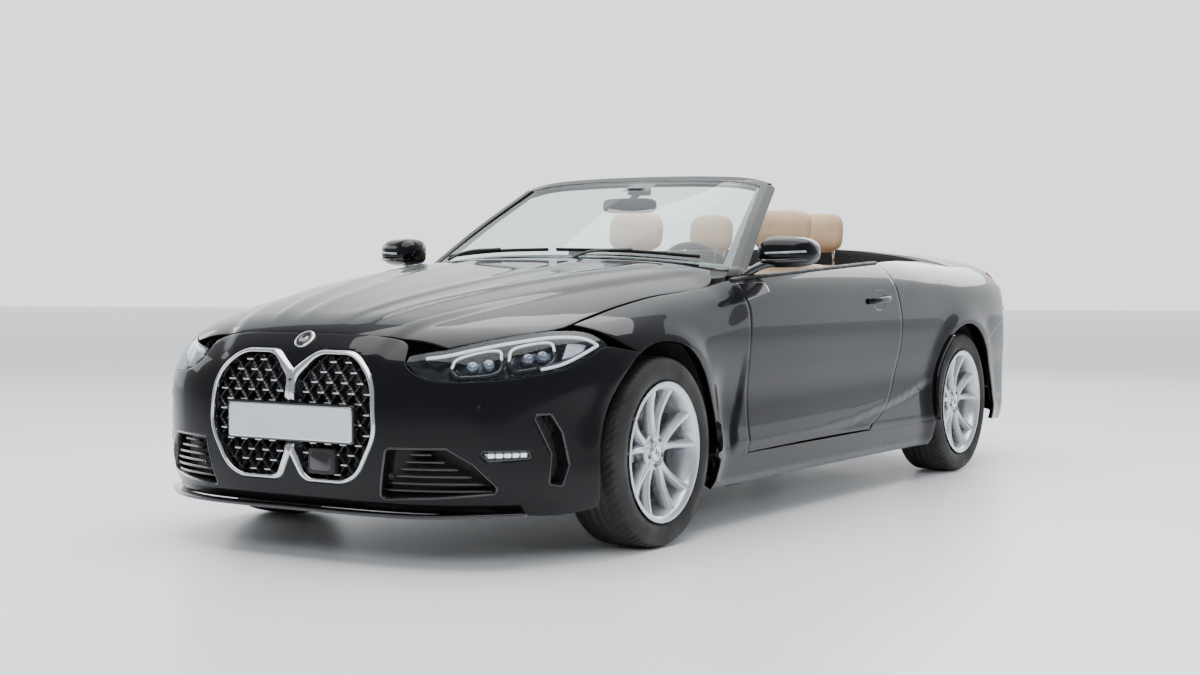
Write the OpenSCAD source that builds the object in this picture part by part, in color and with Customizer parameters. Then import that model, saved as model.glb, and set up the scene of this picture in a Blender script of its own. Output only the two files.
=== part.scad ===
// Four-seat convertible car, roof folded away: body panels, closures, chassis and cabin.
// The front faces -Y, the driver's side is +X, the ground is z = 0.

/* [Overall] */
// Length of the car, bumper to bumper
car_length = 4768; // [3900:1:5800]
// Width of the body without mirrors
car_width = 1852; // [1500:1:2260]
// Distance between the axles
wheelbase = 2851; // [2350:1:3450]
// Distance from the foremost point to the front axle
front_overhang = 900; // [740:1:1090]

/* [Wheels] */
// Outside diameter of the tyre
tyre_d = 660; // [600:1:700]
// Width of the tyre
tyre_w = 225; // [180:1:270]
// Diameter of the rim at its flange
rim_d = 490; // [400:1:520]
// Distance between the centre planes of the two wheels on an axle
track = 1590; // [1320:1:1640]
// Radius of the front wheel opening
front_arch_r = 385; // [360:1:400]
// Radius of the rear wheel opening
rear_arch_r = 374; // [350:1:390]
// Diameter of the brake discs
disc_d = 340; // [280:1:360]
// Radius of the hub stub that carries a wheel
stub_r = 30; // [20:1:40]

/* [Panels] */
// Thickness of the painted panels
skin = 3; // [2:0.5:6]
// Gap around the doors, the bonnet and the boot lid
shut_gap = 6; // [5:0.5:8]
// Seam between fixed panels
seam = 0.5; // [0.3:0.1:1]
// Thickness of a door from its outer skin to its trim
door_t = 120; // [90:1:150]
// Thickness of the floor
floor_t = 30; // [15:1:60]
// Height of the underside of the floor
floor_z = 165; // [140:1:200]

/* [Cabin] */
// Width of a front seat
seat_w = 510; // [420:1:560]
// Distance from the centre line to the middle of a front seat
seat_x = 380; // [340:1:410]
// Outside diameter of the steering wheel
wheel_rim_d = 370; // [330:1:420]
// Running clearance at hinge pins, stubs and kingpins
run_clear = 0.3; // [0.1:0.05:0.6]
// Radius of the hinge pins of the doors and lids
pin_r = 6; // [4:0.5:9]

/* [Hidden] */

// The panels are drawn on a car of these sizes, then moved to the chosen ones by place().
draw_l = 4768;
draw_w = 1852;
draw_front = -1484;
draw_rear = 1367;
front_axle = -car_length / 2 + front_overhang;
rear_axle = front_axle + wheelbase;
hub_z = tyre_d / 2;
k_side = car_width / draw_w;
arch_clear = 22;

// Lengthwise place of a drawn station: a straight scale in front of, between and behind the axles.
function along(y) =
  y < draw_front ? -car_length / 2 + (y + draw_l / 2) * front_overhang / (draw_front + draw_l / 2) :
  y < draw_rear ? front_axle + (y - draw_front) * wheelbase / (draw_rear - draw_front) :
  rear_axle + (y - draw_rear) * (car_length / 2 - rear_axle) / (draw_l / 2 - draw_rear);
function place(p) = [p[0] * k_side, along(p[1]), p[2]];

// Smooth curve through knots [t, value]; its slope at a knot is the mean of the two chords.
function span_of(k, t, i = 0) = i >= len(k) - 2 || t < k[i + 1][0] ? i : span_of(k, t, i + 1);
function chord(k, i) = (k[i + 1][1] - k[i][1]) / (k[i + 1][0] - k[i][0]);
function slope(k, i) = i == 0 ? chord(k, 0) : i == len(k) - 1 ? chord(k, i - 1) :
  (chord(k, i - 1) + chord(k, i)) / 2;
function curve(k, t0) = let (t = min(max(t0, k[0][0]), k[len(k) - 1][0]), i = span_of(k, t),
  h = k[i + 1][0] - k[i][0], s = (t - k[i][0]) / h)
  (1 + 2 * s) * (1 - s) * (1 - s) * k[i][1] + s * (1 - s) * (1 - s) * h * slope(k, i)
  + s * s * (3 - 2 * s) * k[i + 1][1] + s * s * (s - 1) * h * slope(k, i + 1);
function step(a, b, t) = let (s = min(max((t - a) / (b - a), 0), 1)) s * s * (3 - 2 * s);
function smax(a, b, k) = let (h = max(k - abs(a - b), 0)) max(a, b) + h * h / (4 * k);

// Half width along the car, and how far each height lies inside it.
WAIST = [[-2400, 800], [-2000, 872], [-1484, 902], [-1000, 893], [-400, 892], [400, 897], [1000, 912],
  [1450, 924], [1800, 912], [2100, 872], [2384, 800]];
SECTION = [[100, 60], [170, 30], [220, 8], [280, 0], [360, 9], [480, 16], [600, 8], [720, 0], [820, 6],
  [900, 20], [960, 38], [1020, 65], [1150, 160]];
// Height of the bonnet and deck on the centre line.
SPINE = [[-2384, 660], [-2360, 715], [-2300, 757], [-2100, 822], [-1800, 883], [-1400, 942], [-900, 998],
  [-400, 1045], [400, 1062], [1000, 1055], [1500, 1050], [1900, 1045], [2200, 1015], [2384, 970]];
CROWN_EDGE = [[-2384, 620], [-2000, 740], [-1400, 800], [-800, 830], [-400, 890], [700, 900], [1300, 850],
  [2000, 800], [2384, 720]];
DOME = [[-2350, 300], [-2000, 440], [-1400, 580], [-900, 660]];
NOSE = [[100, 140], [170, 65], [210, 35], [270, 15], [360, 3], [500, 0], [620, 6], [700, 22], [760, 50],
  [900, 160]];
TAIL = [[100, 220], [180, 120], [250, 70], [350, 30], [480, 2], [530, 0], [580, 2], [660, 25], [780, 52],
  [900, 58], [980, 35], [1050, 20]];
function flare(y, z, y0, r, h, w) = let (d = (norm([y - y0, z - 330]) - r) / w) h * exp(-d * d);
function half_width(y, z) = curve(WAIST, y) - curve(SECTION, z)
  + flare(y, z, draw_front, 395, 12, 50) * step(150, 300, z) + flare(y, z, draw_rear, 382, 10, 60);
function top_z(x, y) = let (e = x / curve(CROWN_EDGE, y), d = curve(DOME, y))
  curve(SPINE, y) - 45 * e * e - 50 * pow(e, 6) - (1 - step(-1000, -800, y)) * 12 * step(d - 30, d + 50, x);
function nose_y(x, z) = -draw_l / 2 + 500 * pow(x / 900, 4.2) + curve(NOSE, z);
function tail_y(x, z) = draw_l / 2 - 300 * pow(x / 900, 4) - curve(TAIL, z);
// Signed distance-like field of the whole body: negative inside.
function body(p) = let (x = abs(p[0]), y = p[1], z = p[2])
  smax(smax(smax(x - half_width(y, z), z - top_z(x, y), 100), nose_y(x, z) - y, 160), y - tail_y(x, z), 120);
function slant(p) = let (f = body(p), h = 1)
  [body(p + [h, 0, 0]) - f, body(p + [0, h, 0]) - f, body(p + [0, 0, h]) - f] / h;
// Nearest point of the body to p, by a few steps along the slope.
function onto(p, n = 3) = n == 0 ? p : let (g = slant(p)) onto(p - g * body(p) / (g * g), n - 1);
function inward(p, t) = let (g = slant(p)) p - g * t / norm(g);
// Point of the body's side seen straight from the side, at (y, z).
function side(y, z, x = 820, n = 5) = n == 0 ? [x, y, z] :
  let (f = body([x, y, z]), g = body([x + 1, y, z]) - f) side(y, z, min(x - f / max(g, 0.25), 960), n - 1);

// Point of the body's top seen straight from above, at (x, y).
function above(x, y, z = 900, n = 6) = n == 0 ? [x, y, z] :
  let (f = body([x, y, z]), g = body([x, y, z + 1]) - f) above(x, y, z - f / max(g, 0.25), n - 1);
function laid(p) = [for (q = p) above(q[0], q[1], q[2])];

// An edge: a smooth line through a few points, in n equal parts of its length.
function runs(p) = [for (i = 0, s = 0; i < len(p);
  i = i + 1, s = s + (i < len(p) ? norm(p[i] - p[i - 1]) : 0)) s];
function edge(p, n) = let (s = runs(p), e = s[len(s) - 1])
  [for (i = [0:n]) [for (a = [0:2]) curve([for (j = [0:len(p) - 1]) [s[j], p[j][a]]], e * i / n)]];
function cut_last(a, n) = [for (i = [0:len(a) - 1 - n]) a[i]];
function cut_to(a, i0) = [for (i = [i0:len(a) - 1]) a[i]];
function arc(y0, r, a0, a1, n) = [for (i = [0:n]) let (a = a0 + (a1 - a0) * i / n)
  side(y0 + r * cos(a), 330 + r * sin(a))];
// Grid of points between four edges: bottom and top run along a row, left and right across the rows.
// A side edge's own bulge fades with the cube of the distance from it.
function patch(bottom, top, left, right) = let (m = len(bottom) - 1, n = len(left) - 1)
  [for (j = [0:n]) let (v = j / n, l = left[j] - (1 - v) * bottom[0] - v * top[0],
    r = right[j] - (1 - v) * bottom[m] - v * top[m])
    [for (i = [0:m]) let (u = i / m) (1 - v) * bottom[i] + v * top[i] + pow(1 - u, 3) * l + pow(u, 3) * r]];
function pressed(grid) = [for (row = grid) [for (p = row) onto(p)]];
function full(g) = [for (j = [0:len(g) - 2]) [for (i = [0:len(g[0]) - 2]) true]];

// Closed shell between two grids of the same size; keep[j][i] says which cells it has.
module shell(outer, inner, keep) {
  b = floor(len(outer) / 2);
  a = floor(len(outer[0]) / 2);
  lean = cross(outer[b][a + 1] - outer[b][a], outer[b + 1][a] - outer[b][a]) * (outer[b][a] - inner[b][a]);
  if (lean < 0) walls(outer, inner, keep);
  else walls(swap(outer), swap(inner), swap(keep));
}
module walls(outer, inner, keep) {
  n = len(outer);
  m = len(outer[0]);
  function has(j, i) = j >= 0 && i >= 0 && j < n - 1 && i < m - 1 && keep[j][i];
  function at(j, i, s) = s * n * m + j * m + i;
  faces = [for (j = [0:n - 2], i = [0:m - 2]) if (has(j, i)) each concat(
    [[at(j, i, 0), at(j, i + 1, 0), at(j + 1, i + 1, 0)], [at(j, i, 0), at(j + 1, i + 1, 0), at(j + 1, i, 0)],
     [at(j, i, 1), at(j + 1, i + 1, 1), at(j, i + 1, 1)],
     [at(j, i, 1), at(j + 1, i, 1), at(j + 1, i + 1, 1)]],
    has(j - 1, i) ? [] : [[at(j, i, 0), at(j, i, 1), at(j, i + 1, 1)],
      [at(j, i, 0), at(j, i + 1, 1), at(j, i + 1, 0)]],
    has(j + 1, i) ? [] : [[at(j + 1, i, 0), at(j + 1, i + 1, 1), at(j + 1, i, 1)],
      [at(j + 1, i, 0), at(j + 1, i + 1, 0), at(j + 1, i + 1, 1)]],
    has(j, i - 1) ? [] : [[at(j, i, 0), at(j + 1, i, 1), at(j, i, 1)],
      [at(j, i, 0), at(j + 1, i, 0), at(j + 1, i, 1)]],
    has(j, i + 1) ? [] : [[at(j, i + 1, 0), at(j, i + 1, 1), at(j + 1, i + 1, 1)],
      [at(j, i + 1, 0), at(j + 1, i + 1, 1), at(j + 1, i + 1, 0)]])];
  points = [for (g = [outer, inner]) for (row = g) for (p = row) place(p)];
  polyhedron(points = points, faces = faces, convexity = 8);
}
// A panel of even thickness, its grid pressed onto the body.
module panel(grid, t = skin) {
  g = pressed(grid);
  shell(g, [for (row = g) [for (p = row) inward(p, t)]], full(g));
}
// Both halves of a grid whose first column lies on the centre line, as one grid.
function whole(g) = [for (row = g)
  concat([for (i = [len(row) - 1:-1:1]) [-row[i][0], row[i][1], row[i][2]]], row)];
function shift(p, d) = [for (q = p) q + d];
function swap(a) = [for (i = [len(a) - 1:-1:0]) a[i]];
module both() { children(); mirror([1, 0, 0]) children(); }
// A block between two drawn corners, carried to its place with the stations around it.
module block(a, b) {
  p = place(a);
  q = place(b);
  translate(p) cube(q - p);
}

// Shut lines, from front to rear or from top to bottom.
BONNET_SIDE = [[540, -2240, 704], [598, -2182, 721], [652, -2106, 737], [707, -2012, 750], [744, -1900, 765],
  [748, -1754, 798], [750, -1541, 834], [758, -1354, 862], [778, -1187, 876], [792, -1043, 888],
  [772, -927, 912], [712, -822, 945]];
BONNET_FRONT = [[0, -2277, 746], [150, -2277, 745], [299, -2273, 740], [447, -2250, 726], [540, -2240, 704]];
BONNET_REAR = [[0, -890, 999], [300, -880, 993], [560, -850, 975], [712, -822, 945]];
LAMP_LOW = [[430, -2318, 652], [493, -2325, 617], [555, -2303, 604], [636, -2251, 604], [720, -2162, 610],
  [764, -2097, 620], [814, -1995, 637], [843, -1903, 668], [855, -1800, 705]];
LAMP_TOP = [[430, -2300, 676], [493, -2272, 690], [540, -2243, 700], [598, -2182, 718], [652, -2106, 733],
  [707, -2012, 746], [744, -1933, 752], [800, -1840, 748], [855, -1790, 712]];
// Line where the rear quarter meets the deck and the boot lid.
SHOULDER = [[768, 1200, 992], [790, 1330, 968], [806, 1450, 955], [820, 1600, 946], [822, 1750, 944],
  [808, 1900, 936]];
door_front = -827;
// Height of the top edge of the side skirts.
sill_top = 269.5;
DOOR_REAR = [[985, 528], [900, 568], [760, 614], [621, 618], [500, 572], [394, 509], [324, 413], [290, 300]];
front_seam_a = 115;
rear_seam_a = 45;

module front_wing() color("#15161a") {
  top = laid(edge([[754, -1840, 778], [757, -1754, 797], [759, -1541, 832], [767, -1354, 859],
    [789, -1187, 873], [804, -1043, 885], [809, -930, 902], [824, -833, 915]], 22));
  low = concat(arc(draw_front, front_arch_r, front_seam_a, -9, 18),
    [for (y = [-1040, -960, -890, -833]) side(y, sill_top + seam)]);
  panel(patch(low, top, edge([low[0], [870, -1705, 705], [835, -1760, 745], top[0]], 10),
    [for (j = [0:10]) side(-833, sill_top + seam + (915 - sill_top - seam) * j / 10)]));
}

// Line of the door's rear edge as n + 1 points (z, y), from the top down.
function door_rear_line(n) = [for (i = [0:n]) [for (a = [0, 1])
  curve([for (k = [0:len(DOOR_REAR) - 1]) [k, DOOR_REAR[k][a]]], (len(DOOR_REAR) - 1) * i / n)]];
// Distance of a column of the door's grid from its front edge, on a door d long.
door_cols = 12;
function door_col(i, d) = i == 0 ? 0 : i == 1 ? door_lip :
  door_lip + 1 + (i - 2) / (door_cols - 2) * (d - door_lip - 1);
module door() color("#15161a") {
  g2 = shut_gap / 2;
  m = door_cols;
  rear = [for (p = door_rear_line(12)) side(p[1] - shut_gap, p[0])];
  back = swap(rear);
  f = door_front + g2;
  low = [for (i = [0:m]) let (d = door_col(i, back[0][1] - f))
    side(f + d, 276 + g2 + 14 * d / (back[0][1] - f))];
  top = [for (i = [0:m]) let (d = door_col(i, back[12][1] - f))
    side(f + d, 918 + 67 * pow(d / (back[12][1] - f), 0.8))];
  front = [for (j = [0:12]) side(f, low[0][2] + (top[0][2] - low[0][2]) * j / 12)];
  g = pressed(patch(low, top, front, back));
  deep = [for (i = [0:m]) i == 0 ? skin : i == 1 ? 12 : door_t];
  shell(g, [for (row = g) [for (i = [0:m]) row[i] - [deep[i], i == m ? door_taper : 0, 0]]], full(g));
}
// The skin's front edge stands this far ahead of the door's box and covers the hinges.
door_lip = 78;
// The rear edge leans forward this much on the inside, to swing clear of the quarter panel.
door_taper = 12;
door_pin = [815, -772];
hinge_z = [430, 740];
barrel_r = pin_r + 5;
barrel_h = 48;
module door_barrels() for (z = hinge_z) translate(place([door_pin[0], door_pin[1], z])) color("gray")
  difference() {
    union() {
      cylinder(r = barrel_r, h = barrel_h, center = true, $fn = 32);
      translate([-40, barrel_r - 2, -18])
        cube([44, door_front + shut_gap / 2 + door_lip - door_pin[1] - barrel_r + 1.7, 36]);
    }
    cylinder(r = pin_r + run_clear, h = barrel_h + 2, center = true, $fn = 32);
  }
module door_pins() for (z = hinge_z) translate(place([door_pin[0], door_pin[1], z])) {
  cylinder(r = pin_r, h = barrel_h + 18, center = true, $fn = 32);
  for (s = [-1, 1]) translate([-82, -52, s * (barrel_h / 2 + 5) - 4]) cube([94, 58, 8]);
}

module rear_quarter() color("#15161a") {
  n = 12;
  front = [for (p = swap(door_rear_line(n))) side(p[1] + shut_gap / 2, p[0])];
  top = laid(edge(concat([side(531, 985), [792, 750, 990], [775, 1000, 996]], SHOULDER), 24));
  low = concat([for (y = [303, 400, 550, 700, 850, 985]) side(y, sill_top + seam)],
    arc(draw_rear, rear_arch_r, 187, rear_seam_a, 18));
  rear = edge([low[24], side(1740, 630), side(1900, 690), side(2000, 715), side(1985, 800), side(1930, 880),
    top[24]], n);
  panel(patch(low, top, front, rear));
}

module front_bumper() color("#15161a") {
  n = 14;
  c = 34;
  side_arc = arc(draw_front, front_arch_r, 204, front_seam_a, n);
  top = edge(concat([[0, -2284, 740], [150, -2284, 739], [299, -2280, 734], [396, -2270, 712]],
    shift(LAMP_LOW, [0, 0, -8]), [side(-1730, 692), side_arc[n] - [0, seam, 0]]), c);
  arch_edge = shift(side_arc, [0, -seam, 0]);
  low = edge([[0, -2330, 178], [334, -2320, 180], [623, -2225, 178], [720, -2100, 170], [800, -1950, 165],
    arch_edge[0]], c);
  mid = [for (j = [0:n]) low[0] + (top[0] - low[0]) * j / n];
  g = whole(pressed(patch(low, top, mid, arch_edge)));
  keep = [for (j = [0:n - 1]) [for (i = [0:2 * c - 1])
    !(abs(i + 0.5 - c) < opening_cols && j >= opening_rows[0] && j <= opening_rows[1])]];
  shell(g, [for (row = g) [for (p = row) inward(p, skin)]], keep);
}
// Cells of the bumper's grid left open behind the grille.
opening_cols = 10;
opening_rows = [2, 12];
module rear_bumper() color("#15161a") {
  n = 9;
  m = 24;
  side_arc = arc(draw_rear, rear_arch_r, -16, rear_seam_a, n);
  arch_edge = shift(side_arc, [0, seam, 0]);
  low = edge([[0, 2290, 264], [400, 2275, 264], [600, 2222, 262], [740, 2130, 248], [850, 1900, 228],
    arch_edge[0]], m);
  top = edge([[0, 2380, 700], [300, 2375, 700], [600, 2310, 700], [760, 2190, 706], [850, 2030, 709],
    side(1900, 685), side(1740, 625), arch_edge[n]], m);
  mid = [for (j = [0:n]) low[0] + (top[0] - low[0]) * j / n];
  g = whole(pressed(patch(low, top, mid, arch_edge)));
  shell(g, [for (row = g) [for (p = row) inward(p, skin)]], full(g));
}

module bonnet() color("#15161a") {
  g2 = shut_gap / 2;
  m = 16;
  n = 22;
  g = whole(pressed(patch(shift(edge(BONNET_FRONT, m), [0, 0, g2]),
    laid(shift(edge(BONNET_REAR, m), [0, -g2, 0])),
    edge([[0, -2277, 746 + g2], [0, -2200, 785], [0, -1800, 883], [0, -1400, 942], [0, -890, 999]], n),
    laid(shift(edge(BONNET_SIDE, n), [-g2, 0, 0])))));
  shell(g, [for (row = g) [for (p = row) inward(p, skin)]], full(g));
}
lid_arm_t = 12;
bonnet_axis = [-760, 925];
bonnet_arm_x = 600;
module bonnet_arms() color("gray") for (s = [-1, 1])
  translate([s * bonnet_arm_x * k_side, along(bonnet_axis[0]), bonnet_axis[1]]) rotate([90, 0, 90])
  difference() {
    linear_extrude(lid_arm_t, center = true) union() {
      circle(r = barrel_r, $fn = 32);
      polygon([[-8, -9], [0, -10], [0, 10], [-60, 26], [-230, 31.5], [-230, 20], [-70, 8]]);
    }
    cylinder(r = pin_r + run_clear, h = lid_arm_t + 2, center = true, $fn = 32);
  }

boot_front = 1444;
boot_axis = [1360, 985];
boot_arm_x = 560;
LID_SIDE = [[806, 1447, 955], [820, 1600, 946], [822, 1750, 944], [808, 1900, 936], [770, 2040, 925],
  [700, 2170, 910], [640, 2240, 870], [606, 2280, 800], [590, 2310, 712]];
// How many of the last points of that line stand on the upright rear face.
upright = 9;
// Line across the car at station y, where the boot lid meets the deck.
function boot_line(y, m) = edge([[0, y, 1050], [300, y, 1040], [600, y, 1005], [803, y, 957]], m);
module boot_lid() color("#15161a") {
  g2 = shut_gap / 2;
  m = 14;
  n = 22;
  front = boot_line(boot_front, m);
  low = edge([[0, 2375, 709], [300, 2372, 709], [590 - shut_gap, 2310, 712]], m);
  mid = edge([[0, boot_front, 1050], [0, 1900, 1045], [0, 2200, 1015], [0, 2300, 985], [0, 2335, 900],
    [0, 2375, 709]], n);
  border = shift(edge(LID_SIDE, n), [-shut_gap, 0, 0]);
  g = whole(pressed(patch(low, front, swap(mid),
    swap(concat(laid(cut_last(border, upright)), cut_to(border, n + 1 - upright))))));
  shell(g, [for (row = g) [for (p = row) inward(p, skin)]], full(g));
}
module boot_arms() color("gray") for (s = [-1, 1])
  translate([s * boot_arm_x * k_side, along(boot_axis[0]), boot_axis[1]]) rotate([90, 0, 90])
  difference() {
    linear_extrude(lid_arm_t, center = true) union() {
      circle(r = barrel_r, $fn = 32);
      polygon([[-10, 0], [10, 0], [10, -66], [140, -66], [140, 38], [300, 39.5], [300, 28], [156, 26],
        [156, -84], [-10, -84]]);
    }
    cylinder(r = pin_r + run_clear, h = lid_arm_t + 2, center = true, $fn = 32);
  }
module rear_deck() color("#1c1c1f") {
  m = 12;
  n = 6;
  y0 = 1190;
  y1 = boot_front - shut_gap;
  front = edge([[0, y0, 1056], [300, y0, 1048], [600, y0, 1016], [765 - seam, y0, 992]], m);
  rear = boot_line(y1, m);
  g = whole(pressed(patch(front, rear, [for (j = [0:n]) front[0] + (rear[0] - front[0]) * j / n],
    laid(shift(edge([[768, y0, 992], [790, 1330, 968], [805, y1, 956]], n), [-seam - skin, 0, 0])))));
  shell(g, [for (row = g) [for (p = row) inward(p, skin)]], full(g));
  block([-250, y0 + 4, 880 + touch], [250, y0 + 12, 1047]);
}
tail_lens_t = 25;
module tail_light() color("#8c1016") {
  n = 5;
  m = 12;
  low = edge([[612, 2296, 716], [700, 2240, 716], [800, 2130, 718], [850, 2030, 722], side(2003.2, 728)], m);
  top = edge([[658, 2230, 870], [706, 2168, 905], [772, 2045, 921], [800, 1950, 928], side(1939.2, 876)], m);
  g = pressed(patch(low, top, edge([low[0], [628, 2266, 800], top[0]], n),
    edge([low[m], side(1989.2, 800), top[m]], n)));
  shell(g, [for (row = g) [for (p = row) inward(p, tail_lens_t)]], full(g));
}
headlight_t = 30;
module headlight() color("#2a2c30") {
  m = 18;
  n = 5;
  low = edge(shift(LAMP_LOW, [0, 0, seam]), m);
  top = edge(shift(LAMP_TOP, [0, 0, -shut_gap]), m);
  g = pressed(patch(low, top, [for (j = [0:n]) low[0] + (top[0] - low[0]) * j / n],
    [for (j = [0:n]) low[m] + (top[m] - low[m]) * j / n]));
  shell(g, [for (row = g) [for (p = row) inward(p, headlight_t)]], full(g));
}

// Windscreen: a grid whose middle is glass and whose border is the frame.
screen_m = 10;
screen_n = 9;
frame_t = 30;
// Faces of the glass below the frame's outer face, and its gap to the frame along the border.
glass_at = [6, 11];
glass_gap = [0.6, 0.5, 0.2];
function screen() = whole(patch(
  edge([[0, -850, 1004], [300, -815, 998], [560, -740, 980], [735, -640, 960]], screen_m),
  edge([[0, -55, 1345], [300, -65, 1340], [500, -85, 1325], [590, -100, 1303]], screen_m),
  edge([[0, -850, 1004], [0, -460, 1190], [0, -55, 1345]], screen_n),
  edge([[735, -640, 960], [665, -380, 1135], [590, -100, 1303]], screen_n)));
function across(g, j, i) = let (a = g[j][min(i + 1, len(g[0]) - 1)] - g[j][max(i - 1, 0)],
  b = g[min(j + 1, len(g) - 1)][i] - g[max(j - 1, 0)][i], c = cross(a, b)) c / norm(c);
module windscreen_frame() color("#1c1c1f") {
  g = screen();
  r = len(g[0]) - 1;
  keep = [for (j = [0:screen_n - 1]) [for (i = [0:r - 1])
    j == 0 || j == screen_n - 1 || i == 0 || i == r - 1]];
  shell(g, [for (j = [0:screen_n]) [for (i = [0:r]) g[j][i] - frame_t * across(g, j, i)]], keep);
  both() block([622, -720, 900 + touch], [640, -660, 958]);
}
module windscreen_glass() color("#9fb4b8", 0.3) {
  g = screen();
  r = len(g[0]) - 1;
  h = [for (j = [1:screen_n - 1]) [for (i = [1:r - 1]) g[j][i] + [
    i == 1 ? glass_gap[0] : i == r - 1 ? -glass_gap[0] : 0,
    j == 1 ? glass_gap[1] : j == screen_n - 1 ? -glass_gap[1] : 0,
    j == 1 ? glass_gap[2] : j == screen_n - 1 ? -glass_gap[2] : 0]]];
  face = [for (t = glass_at) [for (j = [0:len(h) - 1]) [for (i = [0:len(h[0]) - 1])
    h[j][i] - t * across(h, j, i)]]];
  shell(face[0], face[1], full(h));
}

// ---- Chassis ----
sill_x = 800;
arch_back = -1040;
pan_back = 960;
cabin_back = 1150;
rail_x = [400, 470];
pad_z = 150;
// Clips that hold the skirts: where they stand, their height and their gap to the skirts.
skirt_clip_y = [-960, 800];
clip_z = [240, 256];
clip_gap = 1.2;
skirt_t = 30;
touch = 0.3;
module floor_pan() color("#3a3c40") difference() {
  union() {
    block([-sill_x, arch_back, floor_z], [sill_x, pan_back, floor_z + floor_t]);
    for (s = [-1, 1]) {
      block([s * 735 - 45, arch_back, floor_z + 1], [s * 735 + 45, pan_back, 262]);
      for (y = skirt_clip_y) let (x = side(y, clip_z[0] - 4)[0] - skirt_t - clip_gap)
        block([s * (740 + x) / 2 - (x - 740) / 2, y, clip_z[0]],
          [s * (740 + x) / 2 + (x - 740) / 2, y + 20, clip_z[1]]);
      for (y = [-900, 780]) {
        block([s * 790 - 50, y, pad_z], [s * 790 + 50, y + 90, 160 - touch]);
        block([s * 768 - 28, y, pad_z + 1], [s * 768 + 28, y + 90, floor_z + 1]);
      }
    }
    block([-150, arch_back, floor_z + 1], [150, 640, 400]);
    block([-640, 635, floor_z + 1], [640, pan_back, 330]);
  }
  block([-110, arch_back - 1, floor_z - 1], [110, pan_back + 1, 300]);
}
module front_rails() color("#3a3c40") both() {
  block([rail_x[0], -2190, 300], [rail_x[1], arch_back - touch, 420]);
  block([rail_x[0], arch_back - touch - 40, floor_z], [rail_x[1], arch_back - touch, 301]);
}
module rear_rails() color("#3a3c40") both()
  block([rail_x[0], pan_back + touch, 300], [rail_x[1], 2200, 380 - touch]);
module bulkhead() color("#2a2c30") {
  difference() {
    block([-640, -900, floor_z + floor_t + touch], [640, -880, 900]);
    block([-150 - touch, -901, floor_z], [150 + touch, -879, 400 + touch]);
  }
  block([-640, -881, 880], [640, -640, 900]);
  for (s = [-1, 1]) translate([s * bonnet_arm_x * k_side, along(bonnet_axis[0]), bonnet_axis[1]]) {
    rotate([0, 90, 0]) cylinder(r = pin_r, h = lid_arm_t + 20, center = true, $fn = 32);
    for (e = [-1, 1]) translate([e * (lid_arm_t / 2 + 6) - 3, -9, -30]) cube([6, 18, 39]);
  }
}
module hinge_posts() color("#3a3c40") both() {
  block([660, -1010, 262 + touch], [735, -800, 900]);
  block([650, 650, 262 + touch], [735, 720, 900]);
  door_pins();
}
module rear_bulkhead() color("#2a2c30") {
  block([-530, cabin_back + 35, 380], [530, cabin_back + 50, 880]);
  block([-690, cabin_back + 35, 750], [690, cabin_back + 50, 880]);
  both() {
    block([645, 720 + touch, 750], [660, cabin_back + 36, 900]);
    block([645, 720 + touch, 330], [660, 950, 751]);
    translate([boot_arm_x * k_side, along(boot_axis[0]), boot_axis[1]]) {
      rotate([0, 90, 0]) cylinder(r = pin_r, h = lid_arm_t + 20, center = true, $fn = 32);
      for (e = [-1, 1])
        translate([e * (lid_arm_t / 2 + 6) - 3, along(cabin_back) + 49 - along(boot_axis[0]), -110])
          cube([6, along(boot_axis[0]) - along(cabin_back) - 40, 119]);
    }
  }
}
module boot_tub() color("#2a2c30") difference() {
  block([-555, cabin_back + 50 + touch, 380], [555, 2240, 700]);
  block([-540, cabin_back + 66, 395], [540, 2225, 701]);
}
module engine_block() color("#5a5d60") block([-330, -1780, 260 + touch], [330, -1060, 720]);
module radiator() color("#303236") block([touch - rail_x[0], -2150, 250], [rail_x[0] - touch, -2100, 640]);
module front_crash_beam() color("#5a5d60") {
  block([-560, -2230, 400], [560, -2190 - touch, 500]);
  both() block([150, grille_y + 14, 440], [200, -2229, 470]);
}
king_x = 650;
king_r = 12;
module front_subframe() color("#3a3c40") {
  block([-470, -1600, 215], [470, -1380, 260]);
  both() {
    block([rail_x[0], -1600, 259], [rail_x[1], -1380, 300 - touch]);
    block([460, -1509, 225], [king_x, -1459, 245]);
    block([rail_x[0], -1504, 420 + touch], [440, -1464, 620]);
    block([rail_x[0], -1504, 600], [king_x - 10, -1464, 620]);
    translate([king_x * k_side, front_axle, 225]) cylinder(r = 25, h = 20, $fn = 48);
    translate([king_x * k_side, front_axle, 244]) cylinder(r = king_r, h = 46, $fn = 32);
    translate([king_x * k_side, front_axle, 600]) cylinder(r = 20, h = 20, $fn = 48);
    translate([king_x * k_side, front_axle, 510]) cylinder(r = king_r, h = 91, $fn = 32);
  }
}
module rear_subframe() color("#3a3c40") {
  block([-470, 1290, 262], [470, 1450, 300 - touch]);
  both() {
    block([460, 1340, 262], [680, 1394, 290]);
    translate([track / 2 - 140, rear_axle, hub_z]) rotate([0, 90, 0]) cylinder(r = 60, h = 40, $fn = 48);
    translate([track / 2 - 101, rear_axle, hub_z]) rotate([0, 90, 0]) cylinder(r = stub_r, h = 170, $fn = 48);
  }
}
caliper_clear = 5;
module caliper(y) translate([track / 2 + disc_x - 35, y + 95, hub_z - 50]) cube([60, 88, 110]);
module brake_slot(y) translate([track / 2 + disc_x, y, hub_z]) rotate([0, 90, 0]) difference() {
  cylinder(r = disc_d / 2 + caliper_clear, h = 24 + 2 * caliper_clear, center = true, $fn = 64);
  cylinder(r = 60, h = 60, center = true, $fn = 48);
}
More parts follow.
